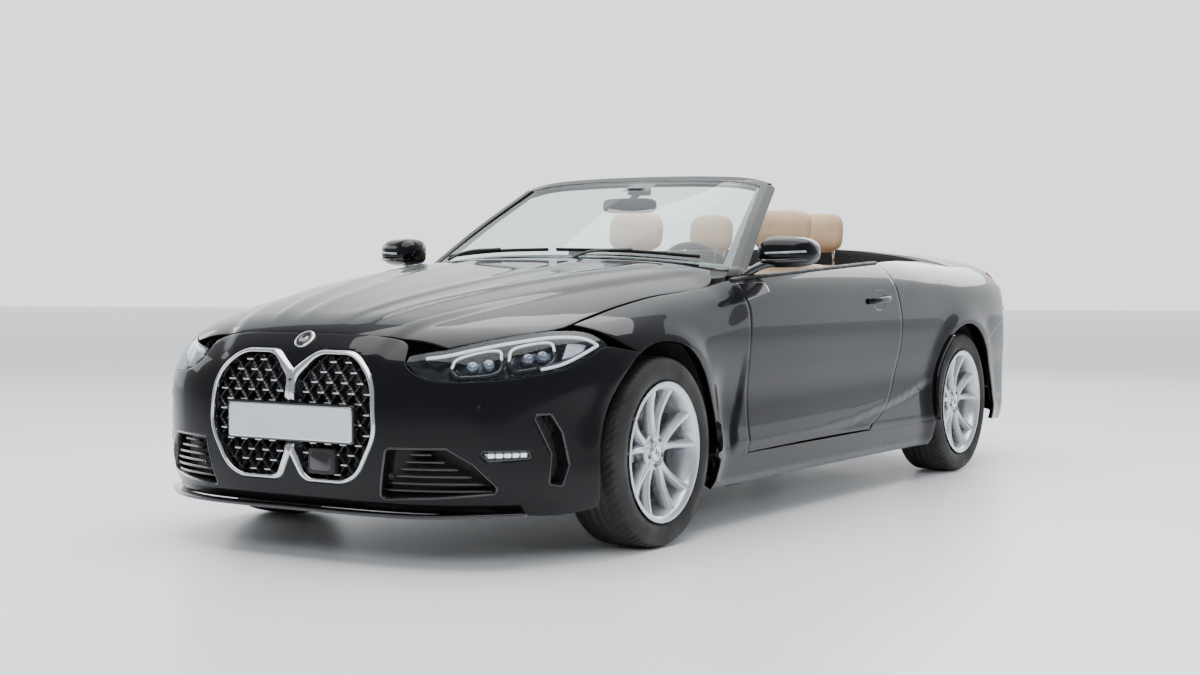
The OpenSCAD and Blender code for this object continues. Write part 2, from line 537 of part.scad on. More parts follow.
module knuckle() color("#6a6d70") difference() {
  union() {
    translate([king_x * k_side - 22, front_axle - 24, 268]) cube([42, 48, 285]);
    translate([king_x * k_side, front_axle, hub_z]) rotate([0, 90, 0])
      cylinder(r = 55, h = track / 2 - king_x * k_side - 55, $fn = 48);
    translate([track / 2 - 101, front_axle, hub_z]) rotate([0, 90, 0])
      cylinder(r = stub_r, h = 170, $fn = 48);
    translate([king_x * k_side + 10, front_axle + 23, hub_z - 40])
      cube([track / 2 - king_x * k_side - 60, 80, 90]);
    caliper(front_axle);
  }
  brake_slot(front_axle);
  translate([king_x * k_side, front_axle, 267]) cylinder(r = king_r + run_clear, h = 30, $fn = 32);
  translate([king_x * k_side, front_axle, 500]) cylinder(r = king_r + run_clear, h = 60, $fn = 32);
}
pipe_r = 40;
pipe_bore = 37;
pipe_x = 520;
pipe_z = 198;
pipe_end = 2290;
tip_bore_l = 200;
module exhaust() color("#8a8c90") {
  block([-50, -800, 200], [50, 1821, 250]);
  block([-10, 0, 249], [10, 60, 300 - touch]);
  block([-600, 1820, 190], [600, 1920, 290]);
  both() {
    translate([pipe_x * k_side, along(1919), pipe_z + 10]) rotate([-90, 0, 0])
      cylinder(r = 20, h = 110, $fn = 48);
    translate([pipe_x * k_side, along(pipe_end), pipe_z]) rotate([90, 0, 0]) difference() {
      cylinder(r = pipe_r, h = along(pipe_end) - along(2020), $fn = 48);
      translate([0, 0, -1]) cylinder(r = pipe_bore, h = tip_bore_l + 1, $fn = 48);
    }
  }
}

// ---- Wheels: drawn about the hub, outer side +X ----
module rim() color("silver") {
  rotate([0, 90, 0]) difference() {
    union() {
      rotate_extrude($fn = 96) polygon([[rim_d / 2 - 12, -tyre_w / 2 + 6], [rim_d / 2, -tyre_w / 2 + 6],
        [rim_d / 2 - 8, -tyre_w / 2 + 24], [rim_d / 2 - 30, 0], [rim_d / 2 - 8, tyre_w / 2 - 24],
        [rim_d / 2, tyre_w / 2 - 6], [rim_d / 2 - 12, tyre_w / 2 - 6], [rim_d / 2 - 20, tyre_w / 2 - 26],
        [rim_d / 2 - 40, 0], [rim_d / 2 - 20, -tyre_w / 2 + 26]]);
      translate([0, 0, tyre_w / 2 - 75]) cylinder(r = 75, h = 45, $fn = 64);
      for (a = [0:72:359], b = [-11, 11]) rotate([0, 0, a + b]) translate([60, -11, tyre_w / 2 - 62])
        cube([rim_d / 2 - 85, 22, 30]);
    }
    translate([0, 0, -tyre_w]) cylinder(r = stub_r + run_clear, h = tyre_w * 1.5 - 25.5, $fn = 48);
  }
}
module tyre() color("#141414") rotate([0, 90, 0]) rotate_extrude($fn = 96)
  polygon([[rim_d / 2 + touch, -tyre_w / 2 + 6], [rim_d / 2 + 30, -tyre_w / 2],
    [tyre_d / 2 - 35, -tyre_w / 2 + 2],
    [tyre_d / 2 - 8, -tyre_w / 2 + 16], [tyre_d / 2, -tyre_w / 2 + 38], [tyre_d / 2, tyre_w / 2 - 38],
    [tyre_d / 2 - 8, tyre_w / 2 - 16], [tyre_d / 2 - 35, tyre_w / 2 - 2], [rim_d / 2 + 30, tyre_w / 2],
    [rim_d / 2 + touch, tyre_w / 2 - 6]]);
module disc() color("gray") rotate([0, 90, 0]) difference() {
  cylinder(r = disc_d / 2, h = 24, center = true, $fn = 64);
  cylinder(r = stub_r + run_clear, h = 30, center = true, $fn = 48);
}
disc_x = -30;
module wheel() {
  rim();
  translate([disc_x, 0, 0]) disc();
}
module at_wheel(y, s) translate([s * track / 2, y, hub_z]) mirror([s < 0 ? 1 : 0, 0, 0]) children();

// ---- Cabin ----
column_r = 30;
module at_steering() translate([seat_x * k_side, along(-300), 900]) rotate([-65, 0, 0]) children();
module dashboard() color("#1d1d1f") difference() {
  union() {
    translate([-620 * k_side, 0, 0]) rotate([90, 0, 90]) linear_extrude(1240 * k_side)
      polygon([for (p = [[-700, 900 + touch], [-639, 900 + touch], [-639, 640], [-560, 620], [-430, 760],
        [-415, 860], [-470, 935], [-560, 950], [-620, 930], [-700, 915]]) [along(p[0]), p[1]]]);
    at_steering() translate([0, 0, -200]) cylinder(r = column_r + 15, h = 90, $fn = 48);
  }
  at_steering() translate([0, 0, -180]) cylinder(r = column_r + run_clear, h = 90, $fn = 48);
}
module centre_console() color("#1d1d1f") block([-110, -600, 400 + touch], [110, 420, 560]);
module steering_wheel() color("#1d1d1f")
  at_steering() {
    rotate_extrude($fn = 72) translate([wheel_rim_d / 2 - 16, 0]) circle(r = 16, $fn = 24);
    translate([0, 0, -30]) cylinder(r = 70, h = 40, $fn = 48);
    for (a = [0, 180, 270]) rotate([0, 0, a]) translate([50, -16, -10]) cube([wheel_rim_d / 2 - 70, 32, 12]);
    translate([0, 0, -160]) cylinder(r = column_r, h = 140, $fn = 48);
  }
module seat_profile(p, w) rotate([90, 0, 90]) linear_extrude(w, center = true)
  polygon([for (q = p) [along(q[0]), q[1]]]);
module front_seat() color("#c8ab86") translate([seat_x * k_side, 0, 0]) {
  seat_profile([[-140, 440], [-110, 560], [200, 545], [330, 520], [400, 640], [500, 990], [590, 980],
    [560, 700], [480, 420], [300, 400], [-80, 400]], seat_w);
  seat_profile([[440, 1040], [425, 1110], [440, 1200], [480, 1230], [530, 1215], [545, 1120], [530, 1040]],
    280);
  for (s = [-1, 1]) translate([s * 70, along(530), 985]) cylinder(r = 7, h = 60, $fn = 24);
  seat_profile([[-60, floor_z + floor_t + touch], [-60, 399], [300, 399],
    [300, floor_z + floor_t + touch]], 300);
}
module rear_seat() color("#c8ab86") {
  for (s = [-1, 1]) translate([s * 295 * k_side, 0, 0]) {
    seat_profile([[650, 400], [670, 490], [900, 480], [1010, 470], [1060, 700], [1110, 980], [1165, 985],
      [1165, 380], [956, 380], [956, 330 + touch], [650, 330 + touch]], 470);
    seat_profile([[1030, 1040], [1020, 1110], [1035, 1215], [1075, 1240], [1110, 1225], [1125, 1120],
      [1115, 1040]], 230);
    for (e = [-1, 1]) translate([e * 60, along(1110), 980]) cylinder(r = 6, h = 62, $fn = 24);
  }
}
module interior_mirror() color("#1c1c1f") translate([0, along(-215), 1225]) {
  cube([250, 40, 66], center = true);
  translate([-15, 0, 0]) rotate([90, 0, 90]) linear_extrude(30)
    polygon([[-12, 30], [12, 30], [138, 73.7], [120, 68.7]]);
}
module door_mirror() color("#15161a") {
  hull() {
    translate([910 * k_side, along(-650), 1022]) scale([0.9, 0.62, 0.55]) sphere(r = 100, $fn = 24);
    translate([960 * k_side, along(-610), 1024]) scale([0.8, 0.6, 0.55]) sphere(r = 100, $fn = 24);
  }
  translate([770 * k_side, along(-700), 932.2]) cube([60, 60, 60]);
  translate([800 * k_side, along(-690), 965]) cube([90, 50, 27]);
}
module side_skirts() color("#15161a") both() {
  n = 16;
  m = 5;
  y0 = -1068;
  y1 = 985;
  low = 160;
  y = [for (i = [0:n]) y0 + (y1 - y0) * i / n];
  z = [for (j = [0:m]) low + (sill_top - low) * j / m];
  panel(patch([for (a = y) side(a, low)], [for (a = y) side(a, sill_top)], [for (a = z) side(y0, a)],
    [for (a = z) side(y1, a)]), skirt_t);
}
grille_y = -2360;
grille_w = 316;
grille_h = 428;
grille_z = 478;
module kidney(d) offset(r = 60, $fn = 32)
  square([grille_w - 120 - 2 * d, grille_h - 120 - 2 * d], center = true);
module grille() color("#a8aaac") both()
  translate([(grille_w / 2 + 24) * k_side, along(grille_y), grille_z]) rotate([90, 0, 0]) {
    linear_extrude(16) difference() {
      kidney(0);
      kidney(15);
    }
    translate([0, 0, -14]) linear_extrude(10) kidney(2);
    translate([0, 0, -5]) linear_extrude(6) difference() {
      kidney(2);
      kidney(14);
    }
  }
plate_w = 520;
plate_h = 110;
module front_plate() color("#c9ccce") translate([-plate_w / 2, -car_length / 2, 401])
  cube([plate_w, 7.5, plate_h]);
// Liner over a wheel, open below, with an inner wall towards the car's middle.
module arch_liner(y0, r, x0, x1) translate([0, y0, hub_z]) rotate([90, 0, 90]) {
  translate([0, 0, x0 * k_side]) linear_extrude((x1 - x0) * k_side) difference() {
    circle(r = r + 5, $fn = 48);
    circle(r = r, $fn = 48);
    translate([-600, -1140]) square([1200, 1200]);
  }
  translate([0, 0, x0 * k_side]) linear_extrude(5) difference() {
    circle(r = r + 1, $fn = 48);
    translate([-600, -1140]) square([1200, 1200]);
    translate([-45, 240]) square([90, 70]);
  }
}
module arch_liners() color("#202124") both() {
  arch_liner(front_axle, front_arch_r + arch_clear, rail_x[1] + touch, 850);
  arch_liner(rear_axle, rear_arch_r + arch_clear, 555 + touch, 850);
}

floor_pan();
bulkhead();
hinge_posts();
rear_bulkhead();
boot_tub();
front_bumper();
grille();
front_plate();
both() headlight();  // headlights
front_wing();  // front_wing_left
mirror([1, 0, 0]) front_wing();  // front_wing_right
engine_block();
radiator();
front_rails();
rear_rails();
front_crash_beam();
windscreen_frame();
windscreen_glass();
union() { bonnet(); bonnet_arms(); }
union() { door(); door_barrels(); }  // door_left
mirror([1, 0, 0]) { door(); door_barrels(); }  // door_right
door_mirror();  // mirror_left
mirror([1, 0, 0]) door_mirror();  // mirror_right
side_skirts();
rear_quarter();  // rear_quarter_left
mirror([1, 0, 0]) rear_quarter();  // rear_quarter_right
rear_deck();
union() { boot_lid(); boot_arms(); }
rear_bumper();
both() tail_light();  // tail_lights
dashboard();
centre_console();
steering_wheel();
front_seat();  // front_seat_left
mirror([1, 0, 0]) front_seat();  // front_seat_right
rear_seat();
interior_mirror();
arch_liners();
front_subframe();
rear_subframe();
exhaust();
knuckle();  // knuckle_left
mirror([1, 0, 0]) knuckle();  // knuckle_right
at_wheel(front_axle, 1) wheel();  // front_rim_left
at_wheel(front_axle, -1) wheel();  // front_rim_right
at_wheel(rear_axle, 1) wheel();  // rear_rim_left
at_wheel(rear_axle, -1) wheel();  // rear_rim_right
at_wheel(front_axle, 1) tyre();  // front_tyre_left
at_wheel(front_axle, -1) tyre();  // front_tyre_right
at_wheel(rear_axle, 1) tyre();  // rear_tyre_left
at_wheel(rear_axle, -1) tyre();  // rear_tyre_right
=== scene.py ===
"""Four-seat convertible car: gloss black panels, twin-frame grille, tan leather cabin, roof folded away.

Metres; +Z up, the front faces -Y, the driver's side is +X. Every surface is a grid of points worked out
with numpy, and the panels are cut from one smooth body, the same one the solid parts are cut from.
"""

import math

import bpy
import numpy as np
from mathutils import Matrix, Vector


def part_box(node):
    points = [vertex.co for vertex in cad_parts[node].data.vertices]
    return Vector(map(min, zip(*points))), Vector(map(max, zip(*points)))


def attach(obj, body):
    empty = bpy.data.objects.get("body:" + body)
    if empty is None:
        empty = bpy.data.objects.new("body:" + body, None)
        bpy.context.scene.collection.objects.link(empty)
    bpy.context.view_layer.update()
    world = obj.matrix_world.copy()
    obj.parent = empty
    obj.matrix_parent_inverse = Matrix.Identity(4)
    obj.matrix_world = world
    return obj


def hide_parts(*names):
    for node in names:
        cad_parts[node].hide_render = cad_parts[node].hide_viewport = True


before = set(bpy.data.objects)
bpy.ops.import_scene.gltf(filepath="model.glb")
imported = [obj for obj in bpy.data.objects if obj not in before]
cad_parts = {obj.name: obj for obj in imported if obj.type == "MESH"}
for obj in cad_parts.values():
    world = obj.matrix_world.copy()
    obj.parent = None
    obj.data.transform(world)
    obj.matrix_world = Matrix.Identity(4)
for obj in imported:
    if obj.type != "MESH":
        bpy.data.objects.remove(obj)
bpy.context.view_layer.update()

# ---- Driving sizes, from the frame ----
LENGTH = 4.768
FRONT_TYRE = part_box("front_tyre_left")
REAR_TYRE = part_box("rear_tyre_left")
HUB_Z = (FRONT_TYRE[0][2] + FRONT_TYRE[1][2]) / 2
FRONT_AXLE = (FRONT_TYRE[0][1] + FRONT_TYRE[1][1]) / 2
REAR_AXLE = (REAR_TYRE[0][1] + REAR_TYRE[1][1]) / 2
WHEEL_X = (FRONT_TYRE[0][0] + FRONT_TYRE[1][0]) / 2
TYRE_R = (FRONT_TYRE[1][2] - FRONT_TYRE[0][2]) / 2
TYRE_W = FRONT_TYRE[1][0] - FRONT_TYRE[0][0]
RIM_R = 0.241
FRONT_ARCH_R = 0.385
REAR_ARCH_R = 0.374
GAP = 0.002
ROLL = 0.0025


# ---- Curves and the body ----
def smooth(knots, t):
    """Cubic through the knots (t, value); the slope at a knot is the mean of the two chords beside it."""
    k = np.asarray(knots, float)
    xs, ys = k[:, 0], k[:, 1]
    t = np.clip(t, xs[0], xs[-1])
    i = np.clip(np.searchsorted(xs, t, side="right") - 1, 0, len(xs) - 2)
    chord = np.diff(ys) / np.diff(xs)
    m = np.concatenate([[chord[0]], (chord[1:] + chord[:-1]) / 2, [chord[-1]]])
    h = xs[i + 1] - xs[i]
    s = (t - xs[i]) / h
    return (
        (1 + 2 * s) * (1 - s) ** 2 * ys[i]
        + s * (1 - s) ** 2 * h * m[i]
        + s * s * (3 - 2 * s) * ys[i + 1]
        + s * s * (s - 1) * h * m[i + 1]
    )


def ramp(a, b, t):
    """0 up to a, 1 from b on, and 3s^2 - 2s^3 between."""
    s = np.clip((t - a) / (b - a), 0, 1)
    return s * s * (3 - 2 * s)


def soft_max(a, b, k):
    """The larger of a and b, rounded over a stretch of k where they are close."""
    h = np.clip(k - np.abs(a - b), 0, None)
    return np.maximum(a, b) + h * h / (4 * k)


WAIST = [(-2.4, 0.8), (-2.0, 0.872), (-1.484, 0.902), (-1.0, 0.893), (-0.4, 0.892), (0.4, 0.897),
         (1.0, 0.912), (1.45, 0.924), (1.8, 0.912), (2.1, 0.872), (2.384, 0.8)]
SECTION = [(0.1, 0.06), (0.17, 0.03), (0.22, 0.008), (0.28, 0), (0.36, 0.009), (0.48, 0.016), (0.6, 0.008),
           (0.72, 0), (0.82, 0.006), (0.9, 0.02), (0.96, 0.038), (1.02, 0.065), (1.15, 0.16)]
SPINE = [(-2.384, 0.66), (-2.36, 0.715), (-2.3, 0.757), (-2.1, 0.822), (-1.8, 0.883), (-1.4, 0.942),
         (-0.9, 0.998), (-0.4, 1.045), (0.4, 1.062), (1.0, 1.055), (1.5, 1.05), (1.9, 1.045), (2.2, 1.015),
         (2.384, 0.97)]
CROWN_EDGE = [(-2.384, 0.62), (-2.0, 0.74), (-1.4, 0.8), (-0.8, 0.83), (-0.4, 0.89), (0.7, 0.9), (1.3, 0.85),
              (2.0, 0.8), (2.384, 0.72)]
DOME = [(-2.35, 0.3), (-2.0, 0.44), (-1.4, 0.58), (-0.9, 0.66)]
NOSE = [(0.1, 0.14), (0.17, 0.065), (0.21, 0.035), (0.27, 0.015), (0.36, 0.003), (0.5, 0), (0.62, 0.006),
        (0.7, 0.022), (0.76, 0.05), (0.9, 0.16)]
TAIL = [(0.1, 0.22), (0.18, 0.12), (0.25, 0.07), (0.35, 0.03), (0.48, 0.002), (0.53, 0), (0.58, 0.002),
        (0.66, 0.025), (0.78, 0.052), (0.9, 0.058), (0.98, 0.035), (1.05, 0.02)]
# The pressed line that sweeps down behind the front wheel and back along the sills.
BLADE_RISE = [(0.2, -0.9), (0.3, -0.94), (0.38, -0.93), (0.455, -0.885), (0.563, -0.862), (0.7, -0.86)]
BLADE_RUN = [(-1.1, 0.31), (-0.85, 0.298), (-0.3, 0.306), (0.1, 0.322), (0.47, 0.36), (0.8, 0.41),
             (1.05, 0.47)]


def blade(y, z):
    """Depth of the pressed recess that lies below the sill line and in front of the rising line."""
    inside = np.minimum(z - smooth(BLADE_RUN, y), y - smooth(BLADE_RISE, z))
    fade = (1 - ramp(0.5, 0.66, z)) * ramp(-1.12, -1.0, y) * (1 - ramp(0.85, 1.02, y))
    return 0.009 * (1 - ramp(-0.008, 0.006, inside)) * fade


def half_width(y, z):
    """Half the body's width at station y and height z: waist less section, plus the flares of the arches."""
    w = smooth(WAIST, y) - smooth(SECTION, z) - blade(y, z)
    front = (np.hypot(y - FRONT_AXLE, z - 0.33) - 0.395) / 0.05
    rear = (np.hypot(y - REAR_AXLE, z - 0.33) - 0.382) / 0.06
    w = w + 0.012 * np.exp(-front * front) * ramp(0.15, 0.3, z) + 0.01 * np.exp(-rear * rear)
    crease = (ramp(-0.5, 0.1, y) * (1 - ramp(1.9, 2.2, y))
              + 0.6 * (1 - ramp(-1.1, -0.5, y)) * ramp(-1.5, -1.1, y))
    return w + 0.004 * crease * np.exp(-((np.abs(z - 0.865 - 0.02 * np.sin(y))) / 0.03))


def top_height(x, y):
    """Height of bonnet or deck at x, y: the spine less a crown, less a step outside the bonnet's dome."""
    e = x / smooth(CROWN_EDGE, y)
    d = smooth(DOME, y)
    fold = (1 - ramp(-1.0, -0.8, y)) * 0.012 * ramp(d - 0.016, d + 0.045, x)
    return smooth(SPINE, y) - 0.045 * e * e - 0.05 * e ** 6 - fold


def field(p):
    """Below zero inside the body: side, top, nose and tail, joined with rounded maxima."""
    x, y, z = np.abs(p[..., 0]), p[..., 1], p[..., 2]
    f = soft_max(x - half_width(y, z), z - top_height(x, y), 0.1)
    nose = -LENGTH / 2 + 0.5 * (x / 0.9) ** 4.2 + smooth(NOSE, z)
    tail = LENGTH / 2 - 0.3 * (x / 0.9) ** 4 - smooth(TAIL, z)
    return soft_max(soft_max(f, nose - y, 0.16), y - tail, 0.12)


def slant(p, h=0.0005):
    """Slope of the field at p, by central differences."""
    return np.stack([(field(p + h * e) - field(p - h * e)) / (2 * h) for e in np.eye(3)], -1)


def unit(v):
    return v / np.maximum(np.linalg.norm(v, axis=-1, keepdims=True), 1e-12)


def onto(p, times=4):
    """Points moved onto the body along the field's slope."""
    p = np.array(p, float)
    for _ in range(times):
        g = slant(p)
        p = p - g * (field(p) / np.maximum((g * g).sum(-1), 1e-9))[..., None]
    return p


def cast(start, way, far=1.3, times=26):
    """Where rays from inside the body leave it, by halving the stretch 0 to far."""
    start, way = np.broadcast_arrays(np.asarray(start, float), np.asarray(way, float))
    low = np.zeros(start.shape[:-1])
    high = np.full(start.shape[:-1], far)
    for _ in range(times):
        mid = (low + high) / 2
        inside = field(start + way * mid[..., None]) < 0
        low, high = np.where(inside, mid, low), np.where(inside, high, mid)
    return start + way * low[..., None]


def flank(y, z):
    """Point of the left side at station y and height z."""
    y, z = np.broadcast_arrays(np.asarray(y, float), np.asarray(z, float))
    return cast(np.stack([0.3 + 0 * y, y, z], -1), [1.0, 0, 0])


def lid(x, y):
    """Point of the body's top at x, y."""
    x, y = np.broadcast_arrays(np.asarray(x, float), np.asarray(y, float))
    return cast(np.stack([x, y, 0.45 + 0 * x], -1), [0, 0, 1.0])


AXIS_Y = -1.2


def brow(a, z):
    """Point of the nose at bearing a (degrees from straight ahead, about a post at AXIS_Y) and height z."""
    a, z = np.broadcast_arrays(np.radians(np.asarray(a, float)), np.asarray(z, float))
    way = np.stack([np.sin(a), -np.cos(a), 0 * a], -1)
    return cast(np.stack([0 * a, AXIS_Y + 0 * a, z], -1), way, 1.5)


def front(x, z):
    """Point of the nose straight ahead of x at height z."""
    x, z = np.broadcast_arrays(np.asarray(x, float), np.asarray(z, float))
    return cast(np.stack([x, -1.6 + 0 * x, z], -1), [0, -1.0, 0], 1.0)


# ---- Grids ----
def edge(points, n):
    """A smooth line through a few points, as n + 1 points at equal steps of its length."""
    p = np.asarray(points, float)
    s = np.concatenate([[0], np.cumsum(np.linalg.norm(np.diff(p, axis=0), axis=1))])
    t = np.linspace(0, s[-1], n + 1)
    return np.stack([smooth(np.stack([s, p[:, a]], 1), t) for a in range(p.shape[1])], 1)


def straight(a, b, n):
    """n + 1 points from a to b."""
    return np.linspace(np.asarray(a, float), np.asarray(b, float), n + 1)


def again(line, n):
    """A dense line taken again at n + 1 equal steps of its length."""
    line = np.asarray(line, float)
    s = np.concatenate([[0], np.cumsum(np.linalg.norm(np.diff(line, axis=0), axis=1))])
    t = np.linspace(0, s[-1], n + 1)
    return np.stack([np.interp(t, s, line[:, a]) for a in range(line.shape[1])], 1)


def patch(bottom, top, left, right):
    """Grid between four edges. A side edge's own bulge fades with the cube of the distance from it."""
    n, m = len(left) - 1, len(bottom) - 1
    u = np.linspace(0, 1, m + 1)[None, :, None]
    v = np.linspace(0, 1, n + 1)[:, None, None]
    l_own = left[:, None] - (1 - v) * bottom[0] - v * top[0]
    r_own = right[:, None] - (1 - v) * bottom[-1] - v * top[-1]
    return (1 - v) * bottom[None] + v * top[None] + (1 - u) ** 3 * l_own + u ** 3 * r_own


def mirrored(points):
    return points * np.array([-1.0, 1, 1])


def whole(grid):
    """Both halves of a grid whose first column is on the centre line."""
    return np.concatenate([mirrored(grid[:, :0:-1]), grid], 1)


def normals(grid):
    """Unit normals of a grid, along the cross product of its two directions."""
    return unit(np.cross(np.gradient(grid, axis=1), np.gradient(grid, axis=0)))


def rolled(grid, out, sides="lrbt", depth=0.016, roll=ROLL):
    """The grid with a rounded edge and a return flange added on the named sides: a quarter circle of radius
    roll, then straight in to depth. out says which way is outwards, as a sign on the grid's normal."""
    nrm = normals(grid) * out
    turn = np.radians([22, 45, 68, 90])
    away = np.concatenate([roll * np.sin(turn), [roll]])
    sink = np.concatenate([roll * (1 - np.cos(turn)), [depth]])
    for axis, (first, last) in enumerate((("b", "t"), ("l", "r"))):
        g = np.moveaxis(grid, axis, 0)
        q = np.moveaxis(nrm, axis, 0)
        for side, flip in ((first, False), (last, True)):
            if side not in sides:
                continue
            if flip:
                g, q = g[::-1], q[::-1]
            t = g[0] - g[1]
            t = unit(t - q[0] * (t * q[0]).sum(-1, keepdims=True))
            extra = [g[0] + t * a - q[0] * s for a, s in zip(away, sink)]
            g = np.concatenate([extra[::-1], g])
            q = np.concatenate([[q[0]] * len(extra), q])
            if flip:
                g, q = g[::-1], q[::-1]
        grid, nrm = np.moveaxis(g, 0, axis), np.moveaxis(q, 0, axis)
    return grid


# ---- Meshes ----
def facing(points, faces, toward):
    """Faces turned round if on the whole they look away from the outward vectors toward."""
    a, b, c = (points[faces[:, i]] for i in range(3))
    if (np.cross(b - a, c - b) * toward[faces[:, 0]]).sum() < 0:
        return faces[:, ::-1]
    return faces


def piece(name, points, faces, finish, body, slot=None, smooth_shade=True, wall=0.0, replaces=(), tag=None):
    """A mesh object from points and faces, finished, and riding on its body."""
    mesh = bpy.data.meshes.new(name)
    points = np.asarray(points, float).reshape(-1, 3)
    groups = faces if isinstance(faces, list) else [faces]
    count = sum(len(f) for f in groups)
    size = np.concatenate([np.full(len(f), f.shape[1]) for f in groups])
    flat = np.concatenate([f.ravel() for f in groups]).astype(np.int32)
    mesh.vertices.add(len(points))
    mesh.vertices.foreach_set("co", points.astype(np.float32).ravel())
    mesh.loops.add(len(flat))
    mesh.loops.foreach_set("vertex_index", flat)
    mesh.polygons.add(count)
    start = np.concatenate([[0], np.cumsum(size)[:-1]]).astype(np.int32)
    mesh.polygons.foreach_set("loop_start", start)
    mesh.polygons.foreach_set("use_smooth", np.full(count, smooth_shade))
    mesh.update(calc_edges=True)
    mesh.validate()
    if tag is not None:
        layer = mesh.attributes.new("tint", "FLOAT", "POINT")
        layer.data.foreach_set("value", np.asarray(tag, np.float32).ravel())
    obj = bpy.data.objects.new(name, mesh)
    bpy.context.collection.objects.link(obj)
    mesh.materials.append(finish)
    if wall:
        mod = obj.modifiers.new("wall", "SOLIDIFY")
        mod.thickness = wall
        mod.offset = -1
    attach(obj, body)
    if replaces:
        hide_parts(*([replaces] if isinstance(replaces, str) else replaces))
    return obj


def grid_faces(n, m, wrap_n=False, wrap_m=False, keep=None):
    """Quads of an n by m grid, closed round in either direction where asked."""
    i = np.arange(n if wrap_n else n - 1)
    j = np.arange(m if wrap_m else m - 1)
    a, b = np.meshgrid(i, j, indexing="ij")
    a2, b2 = (a + 1) % n, (b + 1) % m
    quads = np.stack([a * m + b, a * m + b2, a2 * m + b2, a2 * m + b], -1)
    quads = quads[keep] if keep is not None else quads.reshape(-1, 4)
    return quads.reshape(-1, 4)


def sheet(name, grid, finish, body, out=None, keep=None, **more):
    """An open grid as a piece, its faces turned to look along out (a vector, or None for off the body)."""
    n, m = grid.shape[:2]
    points = grid.reshape(-1, 3)
    faces = grid_faces(n, m, keep=keep)
    toward = slant(points) if out is None else np.broadcast_to(np.asarray(out, float), points.shape)
    return piece(name, points, facing(points, faces, toward), finish, body, **more)


def tube_faces(n, m, closed=False, caps=True):
    """Faces of n rings of m points: round each ring, along the row, with an end face at each end."""
    quads = grid_faces(n, m, wrap_n=closed, wrap_m=True)
    if closed or not caps:
        return [quads]
    ends = np.stack([np.arange(m)[::-1], (n - 1) * m + np.arange(m)])
    return [quads, ends]


def centre_out(points, faces):
    """Faces of a closed form turned outwards, by the sign of its volume."""
    vol = 0.0
    for f in faces:
        a = points[f[:, 0]]
        for k in range(1, f.shape[1] - 1):
            vol += (a * np.cross(points[f[:, k]], points[f[:, k + 1]])).sum()
    return [f[:, ::-1] for f in faces] if vol < 0 else faces


def joined(parts):
    """Several (points, faces list) as one set."""
    points, out, base = [], {}, 0
    for p, fs in parts:
        p = np.asarray(p).reshape(-1, 3)
        for f in fs:
            out.setdefault(f.shape[1], []).append(f + base)
        points.append(p)
        base += len(p)
    return np.concatenate(points), [np.concatenate(v) for v in out.values()]


def solid(rings, closed=False):
    """(points, faces) of a closed form from rings, for joined()."""
    points = rings.reshape(-1, 3)
    return points, centre_out(points, tube_faces(*rings.shape[:2], closed))


def moved_copy(part, fn):
    """The part with its points carried by fn, faces turned again if that mirrors it."""
    points, faces = part
    points = fn(np.asarray(points).reshape(-1, 3))
    return points, centre_out(points, faces)


def both_sides(part):
    """The part and its mirror image across the centre line."""
    return [part, moved_copy(part, mirrored)]


def sweep(path, section, up=(0, 0, 1.0), closed=False):
    """A flat section (k, 2) carried along a path: its first number goes sideways, its second along up."""
    path = np.asarray(path, float)
    if closed:
        t = unit(np.roll(path, -1, 0) - np.roll(path, 1, 0))
    else:
        t = unit(np.gradient(path, axis=0))
    up = np.broadcast_to(np.asarray(up, float), path.shape)
    side = unit(np.cross(t, up))
    rise = unit(np.cross(side, t))
    section = np.asarray(section, float)
    if section.ndim == 2:
        section = np.broadcast_to(section, (len(path),) + section.shape)
    return path[:, None] + side[:, None] * section[..., :1] + rise[:, None] * section[..., 1:]


def ring_of(w, h, k=24, power=3.0, x0=0.0, y0=0.0):
    """Superellipse of half sizes w and h: |x/w|^power + |y/h|^power = 1."""
    a = np.linspace(0, 2 * np.pi, k, endpoint=False)
    c, s = np.cos(a), np.sin(a)
    return np.stack([x0 + w * np.sign(c) * np.abs(c) ** (2 / power),
                     y0 + h * np.sign(s) * np.abs(s) ** (2 / power)], 1)


def rounded_block(centre, size, power=5.0, k=28, layers=(0, 0.06, 0.2, 0.5, 0.8, 0.94, 1), axes=(0, 1, 2)):
    """A block with softened edges: superellipse rings stacked along the third axis, drawn in at each end."""
    half = np.asarray(size, float) / 2
    rings = []
    for v in layers:
        e = 2 * v - 1
        shrink = (1 - abs(e) ** 8) ** 0.25 * 0.12 + 0.88 if abs(e) < 1 else 0.86
        r = ring_of(half[axes[0]] * shrink, half[axes[1]] * shrink, k, power)
        p = np.zeros((k, 3))
        p[:, axes[0]], p[:, axes[1]], p[:, axes[2]] = r[:, 0], r[:, 1], e * half[axes[2]]
        rings.append(p + centre)
    return np.array(rings)


def lathe(profile, centre=(0, 0, 0), k=96, axis="x"):
    """A closed profile of (along the axis, radius) turned once round it."""
    p = np.asarray(profile, float)
    a = np.linspace(0, 2 * np.pi, k, endpoint=False)
    along = np.broadcast_to(p[None, :, 0], (k, len(p)))
    u, v = p[:, 1] * np.cos(a)[:, None], p[:, 1] * np.sin(a)[:, None]
    order = {"x": (along, u, v), "y": (u, along, v), "z": (u, v, along)}[axis]
    return np.stack(order, -1) + np.asarray(centre, float)


def turned(profile, centre=(0, 0, 0), k=96, axis="x"):
    """(points, faces) of a lathe form."""
    return solid(lathe(profile, centre, k, axis), closed=True)


